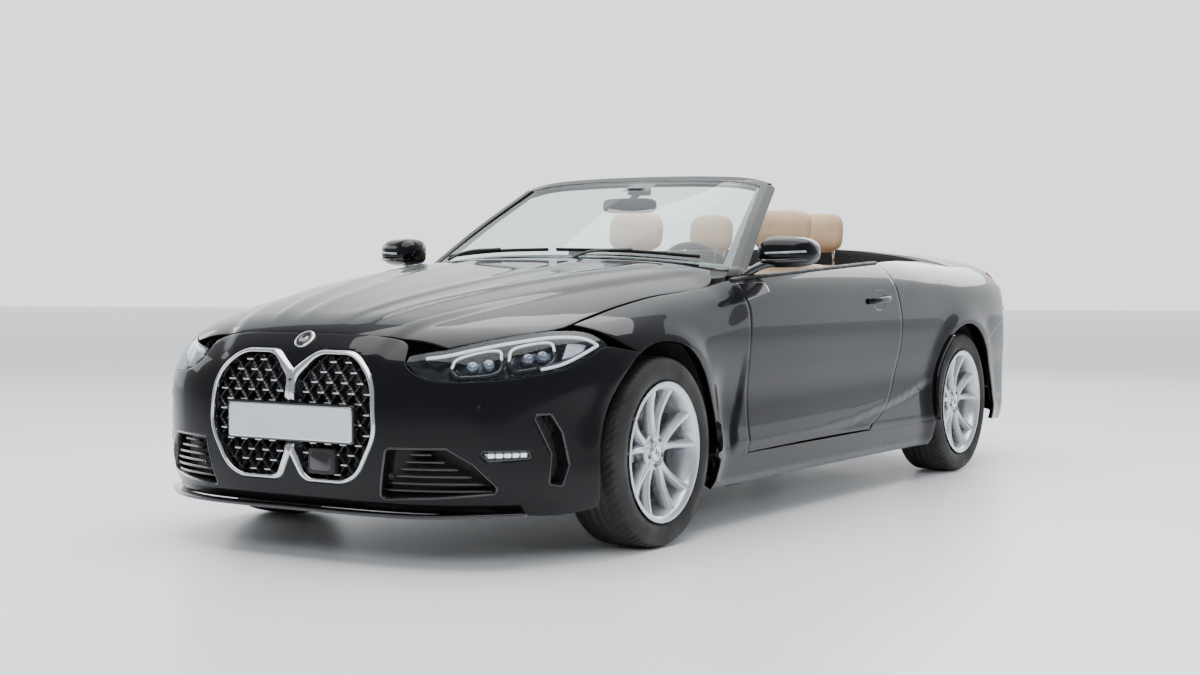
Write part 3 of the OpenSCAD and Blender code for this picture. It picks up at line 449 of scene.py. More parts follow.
# ---- Finishes: one function for the shader, one entry for each real finish ----
def finish(name, color, rough, metal=0.0, coat=0.0, coat_rough=0.03, spread=0.0, rough_spread=0.0, scale=40.0,
           bump=0.0, bump_scale=400.0, pattern="noise", glow=None, clear=0.0, alpha=1.0, ior=1.45, flakes=0.0,
           sheen=0.0, shine=0.5, coat_ior=1.5):
    """A Principled finish: colour and roughness drift with noise, and a fine noise or cell pattern is
    its grain."""
    mat = bpy.data.materials.new(name)
    mat.use_nodes = True
    nodes, links = mat.node_tree.nodes, mat.node_tree.links
    nodes.clear()
    end = nodes.new("ShaderNodeOutputMaterial")
    b = nodes.new("ShaderNodeBsdfPrincipled")
    links.new(b.outputs[0], end.inputs[0])
    b.inputs["Base Color"].default_value = (*color, 1)
    b.inputs["Roughness"].default_value = rough
    b.inputs["Metallic"].default_value = metal
    b.inputs["IOR"].default_value = ior
    b.inputs["Coat Weight"].default_value = coat
    b.inputs["Coat Roughness"].default_value = coat_rough
    b.inputs["Coat IOR"].default_value = coat_ior
    b.inputs["Specular IOR Level"].default_value = shine
    b.inputs["Transmission Weight"].default_value = clear
    b.inputs["Alpha"].default_value = alpha
    if sheen:
        b.inputs["Sheen Weight"].default_value = sheen
        b.inputs["Sheen Roughness"].default_value = 0.4
    if glow:
        b.inputs["Emission Color"].default_value = (*glow[0], 1)
        b.inputs["Emission Strength"].default_value = glow[1]
    where = nodes.new("ShaderNodeTexCoord").outputs["Object"]

    def texture(kind, size, detail=3.0):
        t = nodes.new("ShaderNodeTexNoise" if kind == "noise" else "ShaderNodeTexVoronoi")
        links.new(where, t.inputs["Vector"])
        t.inputs["Scale"].default_value = size
        if kind == "noise":
            t.inputs["Detail"].default_value = detail
            return t.outputs["Fac"]
        if kind == "cracks":
            t.feature = "DISTANCE_TO_EDGE"
        return t.outputs["Distance"]

    def spread_over(source, low, high):
        m = nodes.new("ShaderNodeMapRange")
        links.new(source, m.inputs["Value"])
        m.inputs["From Min"].default_value = 0.3
        m.inputs["From Max"].default_value = 0.7
        m.inputs["To Min"].default_value = low
        m.inputs["To Max"].default_value = high
        return m.outputs[0]

    def tint(source, dark, light):
        r = nodes.new("ShaderNodeValToRGB")
        r.color_ramp.elements[0].position, r.color_ramp.elements[1].position = 0.3, 0.7
        r.color_ramp.elements[0].color = (*[c * dark for c in color], 1)
        r.color_ramp.elements[1].color = (*[min(c * light, 1) for c in color], 1)
        links.new(source, r.inputs[0])
        return r.outputs[0]

    if flakes:
        t = texture("cells", 2600)
        links.new(tint(t, 1.0, flakes), b.inputs["Base Color"])
    elif spread:
        links.new(tint(texture("noise", scale), 1 - spread, 1 + spread), b.inputs["Base Color"])
    if rough_spread:
        links.new(spread_over(texture("noise", scale * 0.6), max(rough - rough_spread, 0),
                              rough + rough_spread),
                  b.inputs["Roughness"])
    if bump:
        n = nodes.new("ShaderNodeBump")
        n.inputs["Strength"].default_value = 1.0
        n.inputs["Distance"].default_value = bump
        links.new(texture(pattern, bump_scale), n.inputs["Height"])
        links.new(n.outputs[0], b.inputs["Normal"])
    return mat


PAINT = finish("gloss_black_paint", (0.0020, 0.0022, 0.0029), 0.3, 0.0, coat=0.8, coat_rough=0.012,
               flakes=1.6, rough_spread=0.05, scale=3, shine=0.05, coat_ior=1.33)
GLOSS = finish("gloss_black_trim", (0.008, 0.008, 0.009), 0.12, coat=0.8, rough_spread=0.04, scale=12)
CHROME = finish("satin_chrome", (0.78, 0.79, 0.81), 0.17, 1.0, spread=0.05, rough_spread=0.05, scale=25)
MATT = finish("matt_black_plastic", (0.014, 0.014, 0.015), 0.55, spread=0.3, rough_spread=0.1, scale=20,
              bump=0.00006, bump_scale=1500)
DASH = finish("soft_dash_skin", (0.020, 0.019, 0.019), 0.6, spread=0.25, rough_spread=0.08, scale=15,
              bump=0.00025, bump_scale=900, pattern="cracks")
RUBBER = finish("black_rubber_seal", (0.010, 0.010, 0.010), 0.5, spread=0.2, rough_spread=0.1, bump=0.00005,
                bump_scale=900)
TYRE = finish("tyre_rubber", (0.017, 0.0165, 0.016), 0.62, spread=0.35, rough_spread=0.12, scale=14,
              bump=0.00012, bump_scale=700)
SILVER = finish("silver_wheel_paint", (0.56, 0.575, 0.60), 0.26, 0.75, coat=0.7, coat_rough=0.06, flakes=1.25,
                rough_spread=0.05, scale=20)
DISC = finish("machined_disc", (0.36, 0.36, 0.37), 0.32, 1.0, spread=0.2, rough_spread=0.12, scale=60,
              bump=0.00004, bump_scale=1800)
CAST = finish("cast_metal", (0.20, 0.20, 0.21), 0.5, 0.85, spread=0.3, rough_spread=0.12, scale=30,
              bump=0.0003, bump_scale=500)
STEEL = finish("exhaust_steel", (0.42, 0.41, 0.40), 0.3, 1.0, spread=0.25, rough_spread=0.12, scale=18,
               bump=0.00008, bump_scale=500)
BRIGHT = finish("polished_steel", (0.8, 0.8, 0.81), 0.1, 1.0, spread=0.04, rough_spread=0.04, scale=30)
UNDER = finish("underbody_coat", (0.030, 0.031, 0.034), 0.6, 0.1, spread=0.35, rough_spread=0.12, scale=12,
               bump=0.0004, bump_scale=250)
LINER = finish("felt_arch_liner", (0.012, 0.012, 0.013), 0.9, spread=0.35, scale=30, bump=0.0004,
               bump_scale=900)
CARPET = finish("black_carpet", (0.016, 0.016, 0.017), 0.95, spread=0.4, scale=150, bump=0.001,
                bump_scale=1600, sheen=0.3)
TAN = finish("tan_leather", (0.50, 0.345, 0.215), 0.46, spread=0.10, rough_spread=0.07, scale=9, bump=0.00028,
             bump_scale=620, pattern="cracks", sheen=0.12)
BLACK_HIDE = finish("black_leather", (0.016, 0.0155, 0.015), 0.42, spread=0.2, rough_spread=0.08, scale=20,
                    bump=0.00025, bump_scale=700, pattern="cracks")
FABRIC = finish("roof_cover_cloth", (0.017, 0.017, 0.019), 0.9, spread=0.3, scale=120, bump=0.0005,
                bump_scale=1300, sheen=0.25)
PLATE = finish("plate_face", (0.60, 0.63, 0.68), 0.38, coat=0.4, spread=0.03, rough_spread=0.04, scale=10,
               bump=0.00003, bump_scale=600)
RED_LENS = finish("red_lens", (0.30, 0.006, 0.010), 0.08, coat=1.0, spread=0.25, rough_spread=0.03, scale=8,
                  glow=((0.6, 0.01, 0.015), 0.12))
WHITE_LENS = finish("clear_reflector", (0.75, 0.77, 0.80), 0.18, 0.6, coat=0.8, spread=0.15,
                    rough_spread=0.05, scale=90)
GUIDE = finish("white_light_guide", (0.85, 0.87, 0.90), 0.25, coat=0.6, spread=0.06, rough_spread=0.06,
               scale=60, glow=((0.86, 0.92, 1.0), 0.55))
BOWL = finish("lamp_bowl", (0.020, 0.021, 0.024), 0.25, 0.4, coat=0.5, spread=0.3, rough_spread=0.08,
              scale=50)
LENS = finish("projector_lens", (0.30, 0.34, 0.40), 0.03, 0.5, coat=1.0, coat_rough=0.01, spread=0.2,
              scale=40)
ENGINE = finish("engine_casting", (0.16, 0.16, 0.165), 0.5, 0.7, spread=0.3, rough_spread=0.1, scale=14,
                bump=0.0006, bump_scale=300)


def clear_sheet(name, tint, gloss=0.06, strength=0.16):
    """Thin glass: straight see-through tinted by tint, with a clear reflection that grows at a slant."""
    mat = bpy.data.materials.new(name)
    mat.use_nodes = True
    nodes, links = mat.node_tree.nodes, mat.node_tree.links
    nodes.clear()
    end = nodes.new("ShaderNodeOutputMaterial")
    through = nodes.new("ShaderNodeBsdfTransparent")
    shine = nodes.new("ShaderNodeBsdfGlossy")
    blend = nodes.new("ShaderNodeMixShader")
    bend = nodes.new("ShaderNodeFresnel")
    through.inputs["Color"].default_value = (*tint, 1)
    shine.inputs["Roughness"].default_value = gloss
    bend.inputs["IOR"].default_value = 1.0 + strength * 3
    behind = nodes.new("ShaderNodeNewGeometry")
    only_front = nodes.new("ShaderNodeMath")
    only_front.operation = "MULTIPLY_ADD"
    links.new(behind.outputs["Backfacing"], only_front.inputs[0])
    only_front.inputs[1].default_value = -1.0
    only_front.inputs[2].default_value = 1.0
    share = nodes.new("ShaderNodeMath")
    share.operation = "MULTIPLY"
    links.new(bend.outputs[0], share.inputs[0])
    links.new(only_front.outputs[0], share.inputs[1])
    links.new(share.outputs[0], blend.inputs[0])
    links.new(through.outputs[0], blend.inputs[1])
    links.new(shine.outputs[0], blend.inputs[2])
    links.new(blend.outputs[0], end.inputs[0])
    return mat


GLASS = clear_sheet("windscreen_glass", (0.88, 0.93, 0.92), 0.01, 0.14)
COVER = clear_sheet("lamp_cover", (0.86, 0.88, 0.90), 0.02, 0.14)

# ---- Camera and stage ----
EYE = np.array([3.987, -6.920, 0.966])
YAW, PITCH, TILT = np.radians([31.653, 2.224, 0.200])
ahead = np.array([-math.sin(YAW) * math.cos(PITCH), math.cos(YAW) * math.cos(PITCH), -math.sin(PITCH)])
across = unit(np.cross(ahead, [0, 0, 1.0]))
upward = np.cross(across, ahead)
across, upward = (across * math.cos(TILT) + upward * math.sin(TILT),
                  upward * math.cos(TILT) - across * math.sin(TILT))
cam = bpy.data.objects.new("camera", bpy.data.cameras.new("camera"))
bpy.context.collection.objects.link(cam)
cam.data.sensor_width = 36
cam.data.lens = 36 * 1826.85 / 1200
cam.data.clip_end = 200
turn = np.eye(4)
turn[:3, 0], turn[:3, 1], turn[:3, 2], turn[:3, 3] = across, upward, -ahead, EYE
cam.matrix_world = Matrix(turn.tolist())
bpy.context.scene.camera = cam

FLOOR_R = 60.0


def room():
    """The stage: a flat round floor that runs out to the sky."""
    r = np.array([0.001, 2.0, 5.0, 10.0, 20.0, 40.0, FLOOR_R])
    t = np.linspace(0, 2 * np.pi, 97)
    grid = np.stack([r * np.cos(t)[:, None], r * np.sin(t)[:, None], np.zeros((97, len(r)))], -1)
    mesh = bpy.data.meshes.new("room")
    mesh.from_pydata(grid.reshape(-1, 3).tolist(), [], grid_faces(97, len(r)).tolist())
    obj = bpy.data.objects.new("room", mesh)
    bpy.context.collection.objects.link(obj)
    mesh.materials.append(finish("pale_floor", (0.86, 0.87, 0.885), 0.30, spread=0.01, scale=0.4))


def backdrop():
    """A wide glowing wall far behind the car, square to the camera's view."""
    mid = np.array([0, 0, 0]) + ahead * (1, 1, 0) / np.hypot(ahead[0], ahead[1]) * 34.0
    flat = unit(across * (1, 1, 0))
    corners = [mid + flat * 60 * a + (0, 0, 40.0 * b) for a, b in ((-1, 0), (1, 0), (1, 1), (-1, 1))]
    mesh = bpy.data.meshes.new("backdrop")
    mesh.from_pydata([tuple(c) for c in corners], [], [(0, 1, 2, 3)])
    obj = bpy.data.objects.new("backdrop", mesh)
    bpy.context.collection.objects.link(obj)
    mesh.materials.append(finish("backdrop_glow", (0.0, 0.0, 0.0), 1.0, glow=((0.82, 0.85, 0.88), 2.1)))


room()
backdrop()


def lamp(name, place, aim, size, power, tone=(1, 1, 1), mirrored_in_paint=True):
    """A soft rectangular light at place, facing aim."""
    data = bpy.data.lights.new(name, "AREA")
    data.shape = "RECTANGLE"
    data.size, data.size_y = size
    data.energy = power
    data.color = tone
    obj = bpy.data.objects.new(name, data)
    bpy.context.collection.objects.link(obj)
    obj.visible_glossy = mirrored_in_paint
    obj.location = place
    obj.rotation_euler = (Vector(aim) - Vector(place)).to_track_quat("-Z", "Y").to_euler()


lamp("ceiling", (0, -0.5, 5.2), (0, 0, 0), (6.0, 8.0), 640, (0.96, 0.98, 1.0))
lamp("front_soft", (2.5, -8.0, 4.2), (0, -1.0, 0.6), (5.0, 2.5), 260, (0.95, 0.98, 1.0), False)
lamp("side_soft", (8.0, 0.5, 3.8), (0, 0, 0.5), (7.0, 2.0), 200, (0.96, 0.98, 1.0), False)
lamp("far_side", (-8.0, -1.0, 3.6), (0, 0, 0.5), (7.0, 2.0), 160, (0.97, 0.98, 1.0))
lamp("rear_soft", (0.0, 8.5, 4.0), (0, 1.0, 0.6), (6.0, 2.5), 200, (0.96, 0.98, 1.0))
world = bpy.data.worlds.new("soft_sky")
bpy.context.scene.world = world
world.use_nodes = True
world.node_tree.nodes["Background"].inputs[0].default_value = (0.86, 0.89, 0.93, 1)
world.node_tree.nodes["Background"].inputs[1].default_value = 0.5


# ---- Shut lines, the same as on the solid panels ----
BONNET_SIDE = [(0.54, -2.24, 0.704), (0.598, -2.182, 0.721), (0.652, -2.106, 0.737), (0.707, -2.012, 0.75),
               (0.744, -1.9, 0.765), (0.748, -1.754, 0.798), (0.75, -1.541, 0.834), (0.758, -1.354, 0.862),
               (0.778, -1.187, 0.876), (0.792, -1.043, 0.888), (0.772, -0.927, 0.912), (0.712, -0.822, 0.945)]
BONNET_FRONT = [(0, -2.277, 0.746), (0.15, -2.277, 0.745), (0.299, -2.273, 0.74), (0.447, -2.25, 0.726),
                (0.54, -2.24, 0.704)]
BONNET_REAR = [(0, -0.89, 0.999), (0.3, -0.88, 0.993), (0.56, -0.85, 0.975), (0.712, -0.822, 0.945)]
LAMP_LOW = [(0.43, -2.318, 0.652), (0.493, -2.325, 0.617), (0.555, -2.303, 0.604), (0.636, -2.251, 0.604),
            (0.72, -2.162, 0.61), (0.764, -2.097, 0.62), (0.814, -1.995, 0.637), (0.843, -1.903, 0.668),
            (0.855, -1.8, 0.705)]
LAMP_TOP = [(0.43, -2.3, 0.676), (0.493, -2.272, 0.69), (0.54, -2.243, 0.7), (0.598, -2.182, 0.718),
            (0.652, -2.106, 0.733), (0.707, -2.012, 0.746), (0.744, -1.933, 0.752), (0.8, -1.84, 0.748),
            (0.855, -1.79, 0.712)]
WING_TOP = [(0.754, -1.84, 0.778), (0.757, -1.754, 0.797), (0.759, -1.541, 0.832), (0.767, -1.354, 0.859),
            (0.786, -1.187, 0.873), (0.8, -1.043, 0.885), (0.808, -0.93, 0.902), (0.822, -0.833, 0.915)]
SHOULDER = [(0.768, 1.2, 0.992), (0.79, 1.33, 0.968), (0.806, 1.45, 0.955), (0.82, 1.6, 0.946),
            (0.822, 1.75, 0.944), (0.808, 1.9, 0.936)]
LID_SIDE = [(0.806, 1.447, 0.955), (0.82, 1.6, 0.946), (0.822, 1.75, 0.944), (0.808, 1.9, 0.936),
            (0.77, 2.04, 0.925), (0.7, 2.17, 0.91), (0.64, 2.24, 0.87), (0.606, 2.28, 0.8),
            (0.59, 2.31, 0.712)]
DOOR_REAR = [(0.29, 0.3), (0.324, 0.413), (0.394, 0.509), (0.5, 0.572), (0.621, 0.618), (0.76, 0.614),
             (0.9, 0.568), (0.985, 0.528)]
DOOR_FRONT = -0.827
SILL_TOP = 0.2695
FRONT_SEAM = 115
REAR_SEAM = 45
DECK_FRONT = 1.19
BOOT_FRONT = 1.444
SIDES = (("left", 1), ("right", -1))


def laid(line):
    """A line moved straight up or down onto the body's top."""
    line = np.asarray(line)
    return lid(line[:, 0], line[:, 1])


def arch(y0, r, a0, a1, n):
    """Points of a wheel arch on the body's side, from a0 to a1 degrees round the axle."""
    a = np.radians(np.linspace(a0, a1, n + 1))
    return flank(y0 + r * np.cos(a), 0.33 + r * np.sin(a))


def moved(line, by):
    return np.asarray(line) + np.asarray(by, float)


def pair(name, grid, sides, body, depth=0.016, wall=0.0012, material=None, slot="paint", nodes=None,
         keep=None):
    """A left and a right panel from one grid pressed onto the body, with rolled edges."""
    out = 1 if (normals(grid) * slant(grid)).sum() > 0 else -1
    made = rolled(grid, out, sides, depth)
    for side, s in SIDES:
        g = made if s > 0 else mirrored(made)
        sheet(f"{name}_{side}", g, material or PAINT, body.format(side) if "{" in body else body,
              out=None, slot=slot, wall=wall, keep=keep,
              replaces=(nodes.format(side),) if nodes else ())


# ---- Painted panels ----
def front_wing():
    n, m = 34, 70
    top = laid(edge(moved(WING_TOP, (GAP, 0, 0)), m))
    low = again(np.concatenate([arch(FRONT_AXLE, FRONT_ARCH_R, FRONT_SEAM, -9, 60)[:-1],
                                flank(np.array([-1.075, -1.04, -0.96, -0.89, DOOR_FRONT - GAP]),
                                      SILL_TOP + GAP)]),
                m)
    nose = edge([low[0], (0.872, -1.7, 0.705), (0.838, -1.758, 0.745), top[0]], n)
    z = np.linspace(SILL_TOP + GAP, 0.915, n + 1)
    pair("wing_skin", onto(patch(low, top, nose, flank(np.full(n + 1, DOOR_FRONT - GAP), z))), "lrbt",
         "car_body", nodes="front_wing_{}", depth=0.02)


def door_skin():
    n, m = 42, 76
    z = np.linspace(0.278, 0.985, n + 1)
    rear = flank(smooth(DOOR_REAR, z) - GAP, z)
    front_y = DOOR_FRONT + GAP
    y_low = np.linspace(front_y, rear[0, 1], m + 1)
    low = flank(y_low, np.linspace(0.276, 0.29, m + 1))
    y_top = np.linspace(front_y, rear[-1, 1], m + 1)
    share = (y_top - front_y) / (rear[-1, 1] - front_y)
    top = flank(y_top, 0.915 + 0.07 * share ** 0.8)
    zf = np.linspace(low[0, 2], top[0, 2], n + 1)
    pair("door_skin", onto(patch(low, top, flank(np.full(n + 1, front_y), zf), rear)), "lrbt", "{}_door",
         depth=0.014)


def rear_quarter():
    n, m = 44, 84
    z = np.linspace(0.285, 0.985, n + 1)
    front = flank(smooth(DOOR_REAR, z) + GAP, z)
    rim = [tuple(front[-1]), (0.795, 0.75, 0.99), (0.778, 1.0, 0.996)] + SHOULDER
    top = laid(edge(rim, m))
    low = again(np.concatenate([flank(np.array([0.303, 0.4, 0.55, 0.7, 0.85, 0.95]), SILL_TOP + GAP),
                                arch(REAR_AXLE, REAR_ARCH_R, 189, REAR_SEAM, 60)]), m)
    front[0] = low[0]
    rear = edge([low[-1], flank(1.74, 0.63), flank(1.9, 0.69), flank(2.0, 0.715), flank(1.985, 0.8),
                 flank(1.93, 0.88), top[-1]], n)
    pair("quarter_skin", onto(patch(low, top, front, rear)), "lrbt", "car_body", nodes="rear_quarter_{}",
         depth=0.02)


def bonnet():
    n, m = 70, 50
    low = edge(BONNET_FRONT, m)
    top = laid(moved(edge(BONNET_REAR, m), (0, -GAP, 0)))
    mid = edge([(0, -2.277, 0.747), (0, -2.2, 0.785), (0, -1.8, 0.883), (0, -1.4, 0.942), (0, -0.892, 0.999)],
               n)
    side = laid(moved(edge(BONNET_SIDE, n), (-GAP, 0, 0)))
    grid = whole(onto(patch(low, top, mid, side)))
    x, y = np.abs(grid[..., 0]), grid[..., 1]
    share = np.clip((y + 2.24) / 1.35, 0, 1)
    fade = ramp(0.0, 0.10, share) * (1 - ramp(0.93, 1.0, share))
    for x0, x1, high in ((0.19, 0.56, 0.0065), (0.09, 0.30, 0.0045)):
        d = x - (x0 + (x1 - x0) * share ** 0.85)
        ridge = np.where(d < 0, np.exp(-(d / 0.055) ** 2), np.exp(-(d / 0.016) ** 2))
        grid = grid + unit(slant(grid)) * (high * ridge * fade)[..., None]
    out = 1 if (normals(grid) * slant(grid)).sum() > 0 else -1
    sheet("bonnet_skin", rolled(grid, out, "lrbt", 0.016), PAINT, "bonnet_panel", slot="paint", wall=0.0012)


def boot_lid():
    n, m = 60, 40
    front = laid(edge([(0, BOOT_FRONT, 1.05), (0.3, BOOT_FRONT, 1.04), (0.6, BOOT_FRONT, 1.005),
                       (0.803, BOOT_FRONT, 0.957)], m))
    low = edge([(0, 2.375, 0.709), (0.3, 2.372, 0.709), (0.588, 2.31, 0.712)], m)
    mid = edge([(0, 2.375, 0.709), (0, 2.335, 0.9), (0, 2.3, 0.985), (0, 2.2, 1.015), (0, 1.9, 1.045),
                (0, BOOT_FRONT, 1.05)], n)
    side = moved(edge(LID_SIDE[::-1], n), (-GAP - 0.001, 0, 0))
    grid = whole(onto(patch(low, front, mid, side)))
    out = 1 if (normals(grid) * slant(grid)).sum() > 0 else -1
    lip = np.exp(-((grid[..., 1] - 2.285 + 0.25 * np.abs(grid[..., 0]) ** 2.5) / 0.022) ** 2)
    lip = lip * ramp(0.93, 0.99, grid[..., 2]) * 0.010
    grid = grid + np.stack([0 * lip, 0.3 * lip, lip], -1)
    sheet("boot_skin", rolled(grid, out, "lrbt", 0.016), PAINT, "boot_panel", slot="paint", wall=0.0012)


def skirt():
    n, m = 14, 90
    y = np.linspace(-1.068, 0.985, m + 1)
    low = flank(y, 0.162) - np.array([0.012, 0, 0])
    top = flank(y, SILL_TOP - GAP)
    v = np.linspace(0, 1, n + 1)[:, None, None]
    grid = onto((1 - v) * low + v * top)
    out = np.exp(-((grid[..., 2] - 0.185) / 0.020) ** 2) * 0.006
    grid[..., 0] += out
    pair("sill_skin", grid, "lrbt", "car_body", depth=0.03, nodes="side_skirts")


def deck():
    n, m = 30, 50
    front = laid(edge([(0, DECK_FRONT, 1.056), (0.3, DECK_FRONT, 1.048), (0.6, DECK_FRONT, 1.016),
                       (0.762, DECK_FRONT, 0.992)], m))
    rear = laid(edge([(0, BOOT_FRONT - 2 * GAP, 1.05), (0.3, BOOT_FRONT - 2 * GAP, 1.04),
                      (0.6, BOOT_FRONT - 2 * GAP, 1.005), (0.8, BOOT_FRONT - 2 * GAP, 0.957)], m))
    side = laid(moved(edge([(0.768, DECK_FRONT, 0.992), (0.79, 1.33, 0.968), (0.805, 1.44, 0.956)], n),
                      (-2 * GAP, 0, 0)))
    grid = whole(onto(patch(front, rear, straight(front[0], rear[0], n), side)))
    x, y = np.abs(grid[..., 0]), grid[..., 1]
    hump = np.exp(-((x - 0.335) / 0.15) ** 4) * ramp(DECK_FRONT - 0.05, DECK_FRONT + 0.04, y)
    grid[..., 2] += 0.006 * hump * (1 - ramp(1.36, BOOT_FRONT - 0.02, y))
    out = 1 if (normals(grid) * slant(grid)).sum() > 0 else -1
    sheet("roof_cover", rolled(grid, out, "lrb", 0.014), FABRIC, "car_body", slot="black_trim", wall=0.0015,
          replaces="rear_deck")


for make in (front_wing, door_skin, rear_quarter, bonnet, boot_lid, skirt, deck):
    make()


# ---- Outlines, openings and the nose ----
def outline(corners, radii, k=9, steps=12):
    """A closed flat line with rounded corners: an arc of k points at each corner, straight between."""
    p = np.asarray(corners, float)
    radii = np.broadcast_to(radii, len(p))
    out = []
    for i in range(len(p)):
        a, b = unit(p[i - 1] - p[i]), unit(p[(i + 1) % len(p)] - p[i])
        half = math.acos(np.clip(a @ b, -1, 1)) / 2
        reach = radii[i] / math.tan(half)
        mid = p[i] + unit(a + b) * radii[i] / math.sin(half)
        s, e = p[i] + a * reach - mid, p[i] + b * reach - mid
        t = np.linspace(0, 1, k)[:, None]
        out.append(mid + unit((1 - t) * s + t * e) * radii[i])
    loop = []
    for i, arc in enumerate(out):
        loop += [arc, straight(arc[-1], out[(i + 1) % len(p)][0], steps)[1:-1]]
    return np.concatenate(loop)


def distance(points, loop):
    """Signed distance of flat points to a closed line, below zero inside."""
    q = np.asarray(points, float)
    flat = q.reshape(-1, 2)
    best = np.full(len(flat), 1e9)
    inside = np.zeros(len(flat), bool)
    for a, b in zip(loop, np.roll(loop, -1, 0)):
        d = b - a
        t = np.clip(((flat - a) @ d) / max(d @ d, 1e-12), 0, 1)
        best = np.minimum(best, np.hypot(*(flat - a - t[:, None] * d).T))
        cross_it = (a[1] > flat[:, 1]) != (b[1] > flat[:, 1])
        at = a[0] + (flat[:, 1] - a[1]) * d[0] / (d[1] if abs(d[1]) > 1e-12 else 1e-12)
        inside ^= cross_it & (flat[:, 0] < at)
    return np.where(inside, -best, best).reshape(q.shape[:-1])


def bearing(p):
    """(bearing in degrees, height) of points on the nose, about the same post as brow()."""
    return np.stack([np.degrees(np.arctan2(p[..., 0], AXIS_Y - p[..., 1])), p[..., 2]], -1)


POST = 57.3 / 1.05
DEG = 1 / POST


def cut(grid, hole, cell=0.006):
    """Grid points near a hole's edge moved onto it, and which cells stay: those outside every hole."""
    d = hole(grid)
    near = np.abs(d) < cell * 0.62
    g = np.stack([(hole(grid + 1e-4 * e) - d) / 1e-4 for e in np.eye(3)], -1)
    step = -g * (d / np.maximum((g * g).sum(-1), 0.2))[..., None]
    grid = np.where(near[..., None], grid + step, grid)
    grid = np.where(near[..., None], onto(grid, 1), grid)
    d = np.where(near, 0, d)
    mean = (d[1:, 1:] + d[:-1, 1:] + d[1:, :-1] + d[:-1, :-1]) / 4
    return grid, mean > 0


KIDNEY_OUT = outline([(0, 0.63), (0.082, 0.693), (0.24, 0.693), (0.34, 0.612), (0.354, 0.425), (0.266, 0.262),
                      (0.045, 0.262), (0, 0.35)], [0.004, 0.09, 0.12, 0.16, 0.16, 0.12, 0.05, 0.004])
KIDNEY_IN = outline([(0.019, 0.598), (0.094, 0.678), (0.232, 0.678), (0.324, 0.604), (0.339, 0.429),
                     (0.256, 0.277), (0.064, 0.277), (0.019, 0.372)],
                    [0.05, 0.075, 0.11, 0.15, 0.15, 0.11, 0.045, 0.05])
INTAKE = outline(np.array([(18.2, 0.386), (27.6, 0.388), (31.2, 0.342), (35.6, 0.248), (25.6, 0.232),
                           (16.9, 0.222)]) * (DEG, 1), 0.014, k=6, steps=10)
CURTAIN = outline(np.array([(40.6, 0.492), (43.4, 0.492), (45.4, 0.43), (46.6, 0.33), (45.4, 0.262),
                            (43.2, 0.27), (43.6, 0.37)]) * (DEG, 1), 0.008, k=5, steps=8)
FOG = outline(np.array([(32.2, 0.381), (39.6, 0.379), (40.2, 0.357), (33.6, 0.352)]) * (DEG, 1), 0.006, k=5,
              steps=8)


def nose_hole(p):
    """Distance to the nearest opening of the front bumper."""
    q = np.abs(p[..., 0])
    flat = np.stack([q, p[..., 2]], -1)
    ab = bearing(np.stack([q, p[..., 1], p[..., 2]], -1)) * (DEG, 1)
    d = distance(flat, KIDNEY_OUT) + 0.005
    d = np.where(p[..., 1] > -2.1, 9, d)
    for line in (INTAKE, CURTAIN, FOG):
        d = np.minimum(d, distance(ab, line))
    return d


def front_bumper():
    n, m = 66, 150
    side_arc = arch(FRONT_AXLE, FRONT_ARCH_R, 203, FRONT_SEAM, n)
    top = edge(np.concatenate([[(0, -2.284, 0.743), (0.15, -2.284, 0.742), (0.299, -2.28, 0.737),
                                (0.398, -2.27, 0.714)], moved(LAMP_LOW, (0, 0, -0.004)),
                               [flank(-1.73, 0.692)], [side_arc[-1] - (0, 0.002, 0)]]), m)
    low = edge([(0, -2.33, 0.178), (0.334, -2.32, 0.18), (0.623, -2.225, 0.178), (0.72, -2.1, 0.17),
                (0.8, -1.95, 0.165), side_arc[0]], m)
    mid = straight(low[0], top[0], n)
    flat = patch(*[bearing(e) for e in (low, top, mid, moved(side_arc, (0, -0.002, 0)))])
    grid = brow(flat[..., 0], flat[..., 1])
    grid, keep = cut(grid, nose_hole)
    grid, keep = whole(grid), np.concatenate([keep[:, ::-1], keep], 1)
    out = 1 if (normals(grid) * slant(grid)).sum() > 0 else -1
    made = rolled(grid, out, "lrbt", 0.016)
    kept = np.ones((made.shape[0] - 1, made.shape[1] - 1), bool)
    kept[5:-5, 5:-5] = keep
    sheet("front_bumper_skin", made, PAINT, "car_body", slot="paint", wall=0.0012, keep=kept,
          replaces="front_bumper")


front_bumper()


